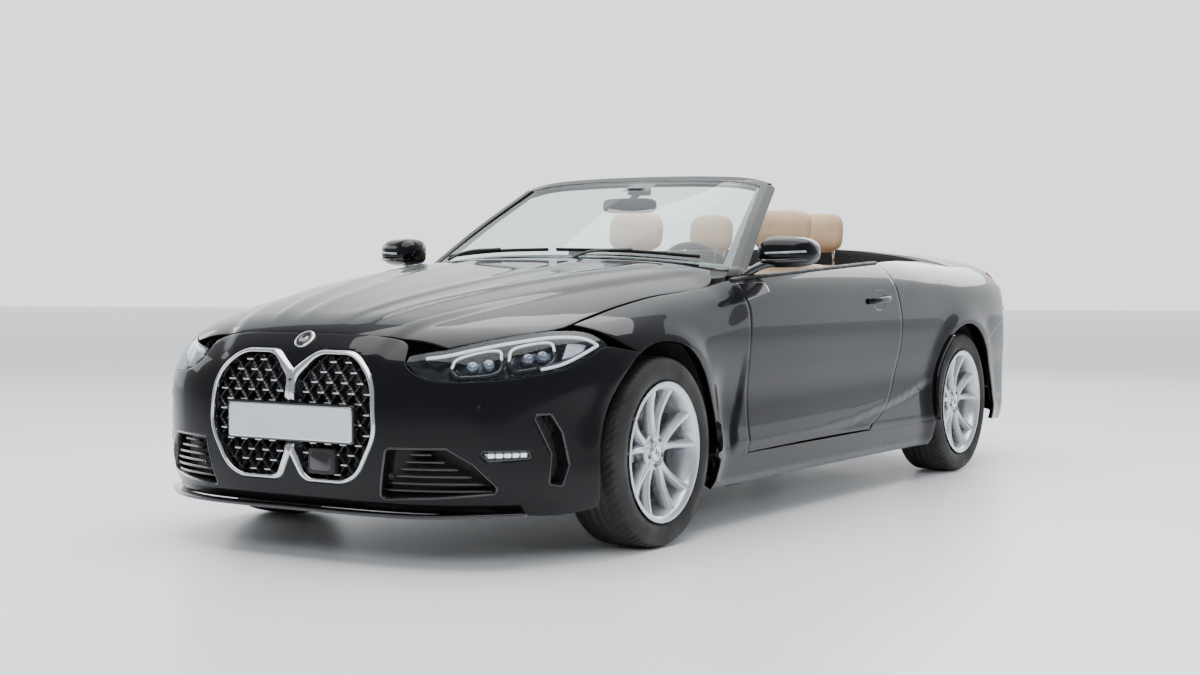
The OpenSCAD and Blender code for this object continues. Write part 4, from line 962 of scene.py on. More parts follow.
def lip(name, loop, depth, material, back, wide=0.006, proud=0.0015, slot=None, place=brow, scale=(POST, 1)):
    """Both sides' rim of an opening: rings from just outside its edge, over a small crest and straight in,
    closed at the bottom by a fan."""
    flat = loop * scale
    p = place(flat[:, 0], flat[:, 1])
    nrm = unit(slant(p))
    along = unit(np.roll(p, -1, 0) - np.roll(p, 1, 0))
    out = unit(np.cross(along, nrm))
    out = out * np.sign(((p - p.mean(0)) * out).sum())
    rows = [(wide, -0.003), (wide * 0.8, proud * 0.6), (wide * 0.4, proud), (0, proud * 0.4),
            (-0.002, -0.004), (-0.005, -depth * 0.5), (-0.008, -depth)]
    grid = np.stack([p + out * a + nrm * b for a, b in rows])
    for side, s in SIDES:
        g = grid if s > 0 else mirrored(grid)
        n, m = g.shape[:2]
        points = g.reshape(-1, 3)
        faces = grid_faces(n, m, wrap_m=True)
        toward = np.concatenate([np.repeat((nrm if s > 0 else mirrored(nrm))[None], n, 0).reshape(-1, 3)])
        piece(f"{name}_rim_{side}", points, facing(points, faces, toward), material, "car_body", slot=slot,
              wall=0.001)
        inner = np.concatenate([g[-1], [g[-1].mean(0)]])
        fan = np.stack([np.arange(m), (np.arange(m) + 1) % m, np.full(m, m)], 1)
        look = np.broadcast_to(toward.mean(0), inner.shape)
        piece(f"{name}_back_{side}", inner, facing(inner, fan, look), back, "car_body", slot=slot)
    return p, nrm


lip("lower_intake", INTAKE, 0.055, GLOSS, MATT)
lip("air_curtain", CURTAIN, 0.05, GLOSS, MATT)
lip("fog_lamp", FOG, 0.012, GLOSS, WHITE_LENS, wide=0.004)


def bars(name, spans, thick, deep, sink, material, tilt=0.0):
    """Bars laid across an opening of the nose: each span is (bearing a, bearing b, height)."""
    parts = []
    for a, b, z in spans:
        t = np.linspace(a, b, 14)
        p = brow(t, z)
        nrm = unit(slant(p))
        section = ring_of(deep / 2, thick / 2, 12, 4)
        rings = p[:, None] + nrm[:, None] * (section[None, :, :1] - sink) \
            + np.array([0, 0, 1.0]) * (section[None, :, 1:] + section[None, :, :1] * tilt)
        parts += both_sides(solid(rings))
    points, faces = joined(parts)
    return piece(name, points, faces, material, "car_body")


bars("intake_slats", [(17.4 + 0.9 * i, 35.2 - 2.0 * i, 0.247 + 0.024 * i) for i in range(6)], 0.009, 0.03,
     0.026, GLOSS, 0.25)
bars("fog_lamp_elements", [(33.6 + 1.25 * i, 34.5 + 1.25 * i, 0.367) for i in range(5)], 0.014, 0.006, 0.006,
     GUIDE)


def grille():
    """Chrome frames between the two outlines, joined down the middle: hollow rim with a soft crest."""
    parts = []
    w = (0, 0.12, 0.3, 0.5, 0.7, 0.88, 1)
    proud = (0.001, 0.007, 0.010, 0.011, 0.010, 0.007, 0.001)
    rows = [(0, -0.04)] + list(zip(w, proud)) + [(1, -0.02)]
    rings = []
    for a, b in rows:
        flat = KIDNEY_IN * (1 - a) + KIDNEY_OUT * a
        p = front(flat[:, 0], flat[:, 1])
        p[:, 1] -= b
        rings.append(p)
    ring = np.stack(rings, 1)
    n, m = ring.shape[:2]
    points = ring.reshape(-1, 3)
    part = (points, centre_out(points, [grid_faces(n, m, wrap_n=True, wrap_m=True)]))
    parts += both_sides(part)
    points, faces = joined(parts)
    behind = ramp(0.075, 0.055, np.abs(points[:, 0])) * ramp(0.375, 0.395, points[:, 2])
    behind = behind * (1 - ramp(0.517, 0.537, points[:, 2]))
    points = points + behind[:, None] * (0, 0.026, 0)
    piece("grille_frames", points, faces, CHROME, "car_body", slot="chrome_trim", replaces="grille")


grille()
CELL_X, CELL_Z = 0.062, 0.066
GRILLE_MID = 0.18


def cell_gap(x, z):
    """How much further the second nearest cell centre is than the nearest: zero along the honeycomb walls."""
    far = []
    for ox, oz in ((0, 0), (0.5, 0.5)):
        i = np.floor((x - GRILLE_MID) / CELL_X - ox)
        j = np.floor((z - 0.456) / CELL_Z - oz)
        for di in (0, 1):
            for dj in (0, 1):
                cx, cz = (i + di + ox) * CELL_X + GRILLE_MID, (j + dj + oz) * CELL_Z + 0.456
                far.append(np.hypot((x - cx), (z - cz) * 0.86))
    far = np.sort(np.stack(far), 0)
    return far[1] - far[0]


def mesh_panel():
    """Honeycomb behind each frame: a grid whose depth rises to a thin wall along the cell edges."""
    x, z = np.meshgrid(np.linspace(0.006, 0.35, 150), np.linspace(0.264, 0.69, 190))
    p = front(x, z)
    wall = np.exp(-(cell_gap(x, z) / 0.0045) ** 2)
    p[..., 1] += 0.052 - 0.034 * wall
    mid = np.stack([x, z], -1)
    mid = (mid[1:, 1:] + mid[:-1, 1:] + mid[1:, :-1] + mid[:-1, :-1]) / 4
    keep = distance(mid, KIDNEY_OUT) < -0.002
    for side, s in SIDES:
        sheet(f"grille_mesh_{side}", p if s > 0 else mirrored(p), GLOSS, "car_body", out=(0, -1, 0),
              keep=keep, slot="chrome_trim")


def dashes():
    """Short chrome bars on the level walls of the honeycomb."""
    parts = []
    for ox, oz in ((0, 0.5), (0.5, 0)):
        for i in range(-3, 4):
            for j in range(-4, 5):
                x, z = GRILLE_MID + (i + ox) * CELL_X, 0.456 + (j + oz) * CELL_Z
                if distance(np.array([[x, z]]), KIDNEY_IN)[0] > -0.012 or (x < 0.25
                                                                           and abs(z - 0.456) < 0.05):
                    continue
                y = front(x, z)[1] + 0.014
                bar = rounded_block(np.array([x, y, z]), (0.027, 0.006, 0.0055), 4, 12, (0, 0.1, 0.9, 1),
                                    (2, 1, 0))
                parts += both_sides(solid(bar))
    points, faces = joined(parts)
    piece("grille_dashes", points, faces, CHROME, "car_body", slot="chrome_trim")


mesh_panel()
dashes()


def flat_form(loop, y_front, thick, bevel=0.002):
    """(points, faces) of a flat plate in the x-z plane with a bevelled front edge."""
    t = unit(np.roll(loop, -1, 0) - np.roll(loop, 1, 0))
    n = np.stack([t[:, 1], -t[:, 0]], 1)
    n = n * np.sign(((loop - loop.mean(0)) * n).sum())
    rows = [(0, thick), (0, bevel), (-bevel * 0.3, bevel * 0.3), (-bevel, 0)]
    rings = np.stack([np.stack([(loop + n * a)[:, 0], np.full(len(loop), y_front + b), (loop + n * a)[:, 1]],
                               1)
                      for a, b in rows])
    return solid(rings)


def rect(x0, x1, z0, z1, r, k=6, steps=8):
    return outline([(x0, z0), (x1, z0), (x1, z1), (x0, z1)], r, k, steps)


PLATE_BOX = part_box("front_plate")


def front_plate():
    z = (PLATE_BOX[0][2] + PLATE_BOX[1][2]) / 2
    y = PLATE_BOX[0][1] - 0.004
    holder = flat_form(rect(-0.268, 0.268, z - 0.063, z + 0.063, 0.010), y + 0.0015, 0.016, 0.003)
    piece("front_plate_holder", *holder, GLOSS, "car_body", slot="plate")
    piece("front_plate_blank", *flat_form(rect(-0.258, 0.258, z - 0.053, z + 0.053, 0.008), y, 0.004, 0.001),
          PLATE, "car_body", slot="plate", replaces="front_plate")
    parts = [flat_form(rect(-0.262, 0.262, z - 0.057, z + 0.057, 0.010), y + 0.0005, 0.006, 0.0012)]
    piece("front_plate_rim", *joined(parts), CHROME, "car_body", slot="plate")
    box = rounded_block(np.array([0.128, front(0.128, 0.335)[1] + 0.012, 0.333]), (0.112, 0.03, 0.082), 6, 40)
    piece("distance_sensor", *solid(box), DASH, "car_body")
    lens = flat_form(rect(0.084, 0.172, 0.303, 0.363, 0.014), front(0.128, 0.335)[1] - 0.0045, 0.004, 0.002)
    piece("distance_sensor_face", *lens, GLOSS, "car_body")


front_plate()


def on_surface(profile, at, k=64):
    """(points, faces) of a lathe form (height off the surface, radius) standing on the body at a point."""
    n = unit(slant(np.asarray(at, float)))
    u = unit(np.cross([0, 0, 1.0], n))
    v = np.cross(n, u)
    p = np.asarray(profile, float)
    a = np.linspace(0, 2 * np.pi, k, endpoint=False)
    grid = at + p[None, :, :1] * n + p[None, :,
                                       1:] * (np.cos(a)[:, None, None] * u + np.sin(a)[:, None, None] * v)
    return solid(grid, closed=True)


def disc_profile(r, h):
    return [(-0.002, 0.0004), (-0.002, r), (h * 0.5, r), (h * 0.85, r * 0.97), (h, r * 0.9), (h, 0.0004)]


BADGE = front(0, 0.722)
piece("badge_disc", *on_surface(disc_profile(0.037, 0.006), BADGE), BRIGHT, "car_body")
piece("badge_face", *on_surface(disc_profile(0.0325, 0.0072), BADGE), GLOSS, "car_body")
piece("camera_dot", *on_surface(disc_profile(0.006, 0.014), front(0, 0.592), 24), GLOSS, "car_body")


# ---- Head lamps ----
def between(grid, u, v, sink=0.0):
    """Point of a grid at shares u, v of its width and height, sunk below the surface."""
    n, m = grid.shape[:2]
    a, b = (np.clip(np.asarray(v, float) * (n - 1), 0, n - 1.001),
            np.clip(np.asarray(u, float) * (m - 1), 0, m - 1.001))
    i, j = a.astype(int), b.astype(int)
    a, b = (a - i)[..., None], (b - j)[..., None]
    p = (1 - a) * ((1 - b) * grid[i, j] + b * grid[i,
                                                   j + 1]) + a * ((1 - b) * grid[i + 1, j] + b *
                                                                  grid[i + 1, j + 1])
    return p - unit(slant(p)) * np.asarray(sink)[..., None]


def lamp_grid(low, top, n, m, gap):
    low, top = edge(moved(low, (0, 0, gap)), m), edge(moved(top, (0, 0, -gap)), m)
    return onto(patch(low, top, straight(low[0], top[0], n), straight(low[-1], top[-1], n)))


def side_pieces(name, part, material, **more):
    for side, s in SIDES:
        points, faces = part if s > 0 else moved_copy(part, mirrored)
        piece(f"{name}_{side}", points, faces, material, "car_body", **more)


def guide(grid, us, vs, r, sink, squash=1.0, steps=70):
    """A round light guide along a line of shares on a lamp's grid."""
    line = np.stack([us, vs], 1)
    line = edge(line, steps)
    p = between(grid, line[:, 0], line[:, 1], sink)
    return solid(sweep(p, ring_of(r, r * squash, 12, 2.4), up=unit(slant(p))))


def headlight():
    grid = lamp_grid(LAMP_LOW, LAMP_TOP, 30, 80, 0.0015)
    n, m = grid.shape[:2]
    out = 1 if (normals(grid) * slant(grid)).sum() > 0 else -1
    v, u = np.meshgrid(np.linspace(0, 1, n), np.linspace(0, 1, m), indexing="ij")
    rim = np.minimum(1, 14 * np.minimum.reduce([u, 1 - u, v * 0.55, (1 - v) * 0.55]))
    bowl = grid - unit(slant(grid)) * (0.004 + 0.045 * rim + 0.004 * np.sin(u * 60) * rim)[..., None]
    cover = rolled(grid, out, "lrbt", 0.006, 0.0015)
    for side, s in SIDES:
        sheet(f"headlight_bowl_{side}", bowl if s > 0 else mirrored(bowl), BOWL, "car_body",
              slot="lamp_glass", replaces="headlights")
        sheet(f"headlight_cover_{side}", cover if s > 0 else mirrored(cover), COVER, "car_body",
              slot="lamp_glass", wall=0.002)
    top_line = [(0.08, 0.86), (0.25, 0.88), (0.5, 0.89), (0.75, 0.88), (0.88, 0.82), (0.945, 0.62),
                (0.93, 0.38), (0.86, 0.2), (0.74, 0.12), (0.62, 0.10)]
    u, v = np.array(top_line).T
    side_pieces("headlight_guide", guide(grid, u, v, 0.0052, 0.014), GUIDE, slot="lamp_glass")
    side_pieces("headlight_rail", guide(grid, u - 0.012, v * 0.86 + 0.06, 0.007, 0.026), BOWL,
                slot="lamp_glass")
    modules, lenses, frames, fins = [], [], [], []
    for u0, u1 in ((0.24, 0.44), (0.50, 0.70)):
        box = [(u0, 0.16), (u0 - 0.03, 0.45), (u0 + 0.02, 0.78), (u1 - 0.04, 0.8), (u1, 0.5),
               (u1 - 0.05, 0.16), (u0, 0.16)]
        us, vs = np.array(box).T
        frames.append(guide(grid, us[1:5], vs[1:5], 0.0042, 0.022))
        modules.append(guide(grid, us, vs, 0.008, 0.032))
        for k in (0.33, 0.70):
            c = between(grid, u0 + (u1 - u0) * k, 0.46, 0.030)
            lenses.append(on_surface([(-0.03, 0.0004), (-0.03, 0.019), (0, 0.019), (0.006, 0.016),
                                      (0.010, 0.010), (0.0115, 0.0004)], c, 32))
    for k in range(16):
        u = np.array([0.74, 0.80, 0.86]) + k * 0.003
        v = np.full(3, 0.28 + k * 0.032)
        fins.append(guide(grid, u, v, 0.0018, 0.03, steps=12))
    side_pieces("headlight_modules", joined(modules), GLOSS, slot="lamp_glass")
    side_pieces("headlight_module_guides", joined(frames), GUIDE, slot="lamp_glass")
    side_pieces("headlight_lenses", joined(lenses), LENS, slot="lamp_glass")
    side_pieces("headlight_fins", joined(fins), WHITE_LENS, slot="lamp_glass")


headlight()


# ---- Rear: bumper, lamps, tips, plate ----
def rear_bumper():
    n, m = 44, 96
    side_arc = moved(arch(REAR_AXLE, REAR_ARCH_R, -16, REAR_SEAM, n), (0, 0.003, 0))
    low = edge([(0, 2.29, 0.264), (0.4, 2.275, 0.264), (0.6, 2.222, 0.262), (0.74, 2.13, 0.248),
                (0.85, 1.9, 0.228), tuple(side_arc[0])], m)
    top = edge([(0, 2.38, 0.703), (0.3, 2.375, 0.703), (0.6, 2.31, 0.706), (0.76, 2.19, 0.710),
                (0.85, 2.03, 0.713), tuple(flank(1.9, 0.686)), tuple(flank(1.74, 0.626)),
                tuple(side_arc[-1])], m)
    grid = whole(onto(patch(low, top, straight(low[0], top[0], n), side_arc)))
    x, z = np.abs(grid[..., 0]), grid[..., 2]
    nrm = unit(slant(grid))
    scoop = ramp(0.34, 0.36, z) * (1 - ramp(0.36, 0.385, z)) * (1 - ramp(0.70, 0.80,
                                                                         x)) * (grid[..., 1] > 1.7)
    grid = grid - nrm * (0.010 * scoop)[..., None]
    out = 1 if (normals(grid) * slant(grid)).sum() > 0 else -1
    sheet("rear_bumper_skin", rolled(grid, out, "lrbt", 0.018), PAINT, "car_body", slot="paint", wall=0.0012,
          replaces="rear_bumper")


def diffuser():
    x = np.linspace(-0.66, 0.66, 121)
    z = np.linspace(0.20, 0.335, 22)
    xx, zz = np.meshgrid(x, z)
    base = cast(np.stack([xx, 1.6 + 0 * xx, np.maximum(zz, 0.272)], -1), [0, 1.0, 0], 1.0)
    base[..., 2] = zz
    base[..., 1] += 0.004 - 0.35 * np.clip(0.272 - zz, 0, 1)
    fins = sum(np.exp(-((xx - c) / 0.006) ** 2) for c in (-0.3, -0.15, 0, 0.15, 0.3))
    base[..., 1] += 0.012 * fins * ramp(0.335, 0.29, zz)
    keep = np.ones((len(z) - 1, len(x) - 1), bool)
    mid_x, mid_z = np.abs(xx[1:, 1:] + xx[:-1, :-1]) / 2, (zz[1:, 1:] + zz[:-1, :-1]) / 2
    keep &= np.hypot(mid_x - 0.52, mid_z - 0.198) > 0.046
    sheet("rear_diffuser", base, GLOSS, "car_body", out=(0, 1, 0), keep=keep, wall=0.003)
    parts = []
    for s in (-1, 1):
        ring = [(-0.26, 0.036), (-0.26, 0.0405), (0.012, 0.0425), (0.016, 0.041), (0.014, 0.0385),
                (-0.02, 0.0365)]
        parts.append(turned(ring, (s * 0.52, 2.29, 0.198), 64, "y"))
    piece("exhaust_tips", *joined(parts), BRIGHT, "car_body", slot="steel")


def tail_lamps():
    low = [(0.612, 2.296, 0.716), (0.7, 2.24, 0.716), (0.8, 2.13, 0.718), (0.85, 2.03, 0.722),
           tuple(flank(2.0032, 0.728))]
    top = [(0.658, 2.23, 0.87), (0.706, 2.168, 0.905), (0.772, 2.045, 0.921), (0.8, 1.95, 0.928),
           tuple(flank(1.9392, 0.876))]
    n, m = 34, 70
    low, top = edge(moved(low, (0, 0, 0.002)), m), edge(moved(top, (0, 0, -0.002)), m)
    left = edge([low[0], (0.628, 2.266, 0.8), top[0]], n)
    right = edge([low[-1], flank(1.9892, 0.8), top[-1]], n)
    grid = onto(patch(low, top, left, right))
    out = 1 if (normals(grid) * slant(grid)).sum() > 0 else -1
    v, u = np.meshgrid(np.linspace(0, 1, n + 1), np.linspace(0, 1, m + 1), indexing="ij")
    line = np.minimum(np.abs(v - 0.22), np.where(v > 0.22, np.abs(u - 0.80), 1)) * 0.2
    relief = 0.004 * np.exp(-(line / 0.012) ** 2) + 0.001 * np.cos(v * 60) * (v > 0.4)
    shaped = grid + unit(slant(grid)) * relief[..., None]
    shaped = rolled(shaped, out, "lrbt", 0.02)
    for side, s in SIDES:
        sheet(f"tail_lamp_{side}", shaped if s > 0 else mirrored(shaped), RED_LENS, "car_body",
              slot="tail_lens", wall=0.002, replaces="tail_lights")


def boot_plate():
    y = cast(np.array([0, 1.6, 0.80]), [0, 1.0, 0], 1.0)[1]
    blank = flat_form(rect(-0.26, 0.26, -0.055, 0.055, 0.008), 0.0, 0.003, 0.001)
    rim = flat_form(rect(-0.268, 0.268, -0.063, 0.063, 0.012), 0.0015, 0.008, 0.0015)

    def back(p):
        a = math.radians(12)
        q = p * (-1, -1, 1)
        q = np.stack([q[:, 0], q[:, 1] * math.cos(a) - q[:, 2] * math.sin(a),
                      q[:, 1] * math.sin(a) + q[:, 2] * math.cos(a)], 1)
        return q + (0, y + 0.006, 0.80)

    piece("rear_plate_blank", *moved_copy(blank, back), PLATE, "boot_panel", slot="plate")
    piece("rear_plate_rim", *moved_copy(rim, back), GLOSS, "boot_panel", slot="plate")
    disc = cast(np.array([0, 1.6, 0.925]), [0, 1.0, 0], 1.0)
    piece("boot_badge_disc", *on_surface(disc_profile(0.037, 0.006), disc), BRIGHT, "boot_panel")


for make in (rear_bumper, diffuser, tail_lamps, boot_plate):
    make()


# ---- Wheels: drawn about the hub with the outer side at +X, then placed at each corner ----
HALF = TYRE_W / 2


def tyre_form():
    """Tread and side walls: a rounded profile turned about the axle, with grooves and slanting blocks cut in
    its radius and raised rings on its side walls."""
    side = [(-HALF * 0.80, RIM_R - 0.004), (-HALF * 0.93, RIM_R + 0.012), (-HALF, RIM_R + 0.042),
            (-HALF * 0.985, TYRE_R - 0.034), (-HALF * 0.93, TYRE_R - 0.014), (-HALF * 0.80, TYRE_R - 0.0035)]
    side = edge(side, 16)
    x = np.linspace(-HALF * 0.79, HALF * 0.79, 56)
    crown = np.stack([x, TYRE_R - 0.0035 * np.abs(x / (HALF * 0.79)) ** 2.5], 1)
    prof = np.concatenate([side[:-1], crown, (side * (-1, 1))[::-1][1:]])
    k = 360
    a = np.linspace(0, 2 * np.pi, k, endpoint=False)[:, None]
    px, pr = prof[None, :, 0], prof[None, :, 1]
    groove = sum(np.exp(-((px - g * HALF) / 0.0040) ** 4) for g in (-0.42, -0.14, 0.14, 0.42))
    wave = np.abs(((a * 72 / (2 * np.pi) + px * 26 * np.sign(px)) % 1) - 0.5) * 2
    sipe = (wave < 0.16) * ramp(0.26, 0.34, np.abs(px) / HALF)
    tread = (1 - ramp(0.84, 0.92, np.abs(px) / HALF)) * ramp(TYRE_R - 0.02, TYRE_R - 0.008, pr)
    r = pr - 0.0065 * np.clip(groove + 0.75 * sipe, 0, 1) * tread
    rings = 0.0011 * np.exp(-((pr - RIM_R - 0.020) / 0.0016) ** 2) + 0.0009 * np.exp(
        -((pr - TYRE_R + 0.036) / 0.0014) ** 2)
    x = px + np.sign(px) * rings * (1 - tread) + 0 * a
    return np.stack([x, r * np.cos(a), r * np.sin(a)], -1)


def spoke(mid, lean):
    """One spoke: a keel-shaped ring carried from the hub out to the rim, bending away from its twin."""
    t = np.linspace(0, 1, 26)
    r = 0.050 + (RIM_R - 0.018 - 0.050) * t
    a = mid + lean * (0.10 + 0.165 * t ** 0.8 + 0.02 * np.sin(t * np.pi))
    face = 0.070 + 0.026 * t ** 1.6 - 0.008 * np.sin(t * np.pi)
    top_w = 0.0085 + 0.004 * (1 - t) ** 2 + 0.003 * t ** 4
    low_w = 0.0165 + 0.006 * (1 - t) ** 2 + 0.004 * t ** 3
    deep = 0.036 + 0.012 * (1 - t)
    rows = [(-1, 0, 0), (-0.92, 0, 0.0020), (-0.5, 0, 0.0028), (0, 0, 0.0030), (0.5, 0, 0.0028),
            (0.92, 0, 0.0020),
            (1, 0, 0), (1, 0.55, -0.35), (1, 1, -0.95), (0.6, 1, -1), (0, 1, -1), (-0.6, 1, -1),
            (-1, 1, -0.95), (-1, 0.55, -0.35)]
    ring = []
    for s, low, d in rows:
        w = top_w + (low_w - top_w) * low
        x = face + (d if d > 0 else d * deep)
        ring.append(np.stack([x, r * np.cos(a) - s * w * np.sin(a), r * np.sin(a) + s * w * np.cos(a)], 1))
    return np.stack(ring, 1)


def rim_form():
    parts = []
    lip = [(0.100, RIM_R - 0.016), (0.1035, RIM_R - 0.004), (0.1075, RIM_R + 0.003), (0.1085, RIM_R - 0.001),
           (0.1075, RIM_R - 0.010), (0.103, RIM_R - 0.018), (0.095, RIM_R - 0.024), (0.07, RIM_R - 0.028),
           (0.02, RIM_R - 0.044), (-0.09, RIM_R - 0.036), (-0.104, RIM_R - 0.018), (-0.107, RIM_R + 0.002),
           (-0.102, RIM_R - 0.002), (-0.088, RIM_R - 0.028), (0.02, RIM_R - 0.036), (0.08, RIM_R - 0.02)]
    parts.append(turned(lip, k=144))
    hub = [(0.018, 0.0004), (0.018, 0.062), (0.058, 0.066), (0.0665, 0.061), (0.069, 0.052), (0.067, 0.038),
           (0.064, 0.034), (0.064, 0.0004)]
    parts.append(turned(hub, k=72))
    for k in range(5):
        for lean in (-1, 1):
            parts.append(solid(spoke(math.pi / 2 + k * 2 * math.pi / 5, lean)))
    return joined(parts)


def bolts_form():
    parts = []
    for k in range(5):
        a = math.pi / 2 + (k + 0.5) * 2 * math.pi / 5
        c = np.array([0.066, 0.0475 * math.cos(a), 0.0475 * math.sin(a)])
        parts.append(turned([(-0.02, 0.0002), (-0.02, 0.0085), (0.004, 0.0085), (0.0055, 0.0070),
                             (0.0055, 0.0045), (0.001, 0.0040), (0.001, 0.0002)], c, 18))
    return joined(parts)


CAP = turned([(0.05, 0.0002), (0.05, 0.0325), (0.071, 0.0325), (0.0735, 0.030), (0.0745, 0.024),
              (0.0748, 0.0002)],
             k=48)
BRAKE = joined([turned([(-0.042, 0.075), (-0.042, 0.168), (-0.034, 0.170), (-0.034, 0.075)], k=96),
                turned([(-0.026, 0.075), (-0.026, 0.168), (-0.018, 0.170), (-0.018, 0.075)], k=96),
                turned([(-0.036, 0.09), (-0.036, 0.160), (-0.024, 0.160), (-0.024, 0.09)], k=96),
                turned([(-0.03, 0.03), (-0.03, 0.083), (0.016, 0.080), (0.020, 0.074), (0.020, 0.03)], k=72)])
TYRE_GRID, RIM_PART, BOLTS = tyre_form(), rim_form(), bolts_form()


def wheels():
    for end, y in (("front", FRONT_AXLE), ("rear", REAR_AXLE)):
        for side, s in SIDES:
            def placed(p, s=s, y=y):
                return p * (s, 1, 1) + (s * WHEEL_X, y, HUB_Z)
            body = f"{end}_{side}_wheel"
            rubber = TYRE_GRID.reshape(-1, 3)
            faces = centre_out(rubber, [grid_faces(*TYRE_GRID.shape[:2], wrap_n=True)])
            piece(f"{end}_tyre_{side}_tread", *moved_copy((rubber, faces), placed), TYRE, body, slot="tyre",
                  replaces=f"{end}_tyre_{side}")
            piece(f"{end}_wheel_{side}_spokes", *moved_copy(RIM_PART, placed), SILVER, body,
                  slot="silver_wheel", replaces=f"{end}_rim_{side}")
            piece(f"{end}_wheel_{side}_bolts", *moved_copy(BOLTS, placed), CAST, body)
            piece(f"{end}_wheel_{side}_cap", *moved_copy(CAP, placed), BRIGHT, body)
            piece(f"{end}_brake_{side}_disc", *moved_copy(BRAKE, placed), DISC, body)


wheels()


# ---- Windscreen ----
SCREEN_LOW = [(0, -0.85, 1.004), (0.3, -0.815, 0.998), (0.56, -0.74, 0.98), (0.735, -0.64, 0.96)]
SCREEN_TOP = [(0, -0.055, 1.345), (0.3, -0.065, 1.34), (0.5, -0.085, 1.325), (0.59, -0.1, 1.303)]
SCREEN_SIDE = [(0.735, -0.64, 0.96), (0.665, -0.38, 1.135), (0.59, -0.1, 1.303)]


def windscreen():
    n, m = 44, 40
    low, top = edge(SCREEN_LOW, m), edge(SCREEN_TOP, m)
    mid = edge([(0, -0.85, 1.004), (0, -0.46, 1.19), (0, -0.055, 1.345)], n)
    side = edge(SCREEN_SIDE, n)
    grid = whole(patch(low, top, mid, side))
    nrm = normals(grid)
    nrm = nrm * np.sign((nrm * np.array([0, -0.4, 1.0])).sum())
    sheet("windscreen_pane", grid - nrm * 0.003, GLASS, "car_body", out=(0, -0.5, 1), slot="glass",
          wall=0.004, replaces="windscreen_glass")
    u = np.abs(np.linspace(-1, 1, grid.shape[1] - 1))
    v = np.linspace(0, 1, n)
    keep = (u[None] > 0.94) | (v[:, None] < 0.045) | (v[:, None] > 0.965)
    keep = keep | ((v[:, None] > 0.86) & (u[None] < 0.09))
    sheet("windscreen_dark_band", grid - nrm * 0.0085, GLOSS, "car_body", out=(0, -0.5, 1), keep=keep)
    post = edge(moved(SCREEN_SIDE, (0.004, 0.004, -0.004)), 60)
    post = np.concatenate([post[:1] + (0.03, -0.10, -0.03), post])
    section = outline([(-0.028, -0.024), (0.026, -0.028), (0.032, 0.002), (0.0, 0.010), (-0.030, 0.004)],
                      0.004, 5, 3)
    rings = sweep(post, section, up=(0.35, -0.45, 1.0))
    side_pieces("windscreen_post", solid(rings), PAINT, slot="black_trim", replaces="windscreen_frame")
    head = whole(edge(SCREEN_TOP, 60)[None])[0] + (0, 0.012, -0.006)
    rings = sweep(head, outline([(-0.030, -0.020), (0.030, -0.020), (0.036, -0.004), (0.024, 0.009),
                                 (-0.024, 0.009), (-0.034, -0.006)], 0.004, 5, 3), up=(0, -0.45, 1.0))
    piece("windscreen_header", *solid(rings), PAINT, "car_body", slot="black_trim")
    seal = sweep(edge(moved(SCREEN_SIDE, (0.024, 0.018, -0.012)), 40), ring_of(0.006, 0.008, 12, 3),
                 up=(1, 0, 0.6))
    side_pieces("windscreen_post_seal", solid(seal), RUBBER)


def cowl():
    """Dark panel that closes the gap between the bonnet's rear edge and the glass, with louvre lines."""
    m, n = 70, 24
    near = edge(BONNET_REAR, m) - (0, 0.012, 0.022)
    far = edge(SCREEN_LOW, m) + (0, 0.02, -0.012)
    v = np.linspace(0, 1, n + 1)[:, None, None]
    grid = (1 - v) * near + v * far
    grid[..., 2] -= 0.010 * np.sin(np.pi * v[..., 0]) + 0.0015 * np.cos(v[..., 0] * 40)
    sheet("cowl_panel", whole(grid), MATT, "car_body", out=(0, 0, 1), wall=0.003)
    parts = []
    for x0, x1, foot in ((0.02, 0.60, 0.10), (-0.60, -0.02, -0.52)):
        t = np.linspace(0, 1, 30)
        x = x0 + (x1 - x0) * t
        low = edge(SCREEN_LOW, 120)
        y = np.interp(np.abs(x), low[:, 0], low[:, 1])
        z = np.interp(np.abs(x), low[:, 0], low[:, 2])
        blade_line = np.stack([x, y + 0.030 + 0.012 * np.sin(np.pi * t), z + 0.030], 1)
        parts.append(solid(sweep(blade_line, ring_of(0.004, 0.007, 10, 3), up=(0, -0.5, 1))))
        arm = edge([(foot, -0.865 + 0.1 * abs(foot), 0.992), (foot + 0.06, -0.83 + 0.1 * abs(foot), 1.022),
                    tuple(blade_line[16] + (0, -0.004, 0.008))], 20)
        parts.append(solid(sweep(arm, ring_of(0.008, 0.0045, 10, 3), up=(0, -0.5, 1))))
    piece("wipers", *joined(parts), MATT, "car_body")


windscreen()
cowl()


def inner_mirror():
    box = rounded_block(np.array([0.0, -0.215, 1.225]), (0.25, 0.036, 0.064), 4, 40, axes=(0, 2, 1))
    stem = sweep(edge([(0, -0.205, 1.25), (0, -0.16, 1.27), (0, -0.12, 1.298)], 12),
                 ring_of(0.012, 0.009, 14, 3), up=(1, 0, 0))
    pod = rounded_block(np.array([0, -0.135, 1.287]), (0.085, 0.09, 0.030), 4, 30)
    piece("interior_mirror_shell", *joined([solid(box), solid(stem), solid(pod)]), MATT, "car_body",
          slot="black_plastic", replaces="interior_mirror")
    face = flat_form(rect(-0.118, 0.118, 1.198, 1.252, 0.018), 0.0, 0.002, 0.0006)
    piece("interior_mirror_glass", *moved_copy(face, lambda p: p * (1, -1, 1) + (0, -0.1955, 0)), BRIGHT,
          "car_body")


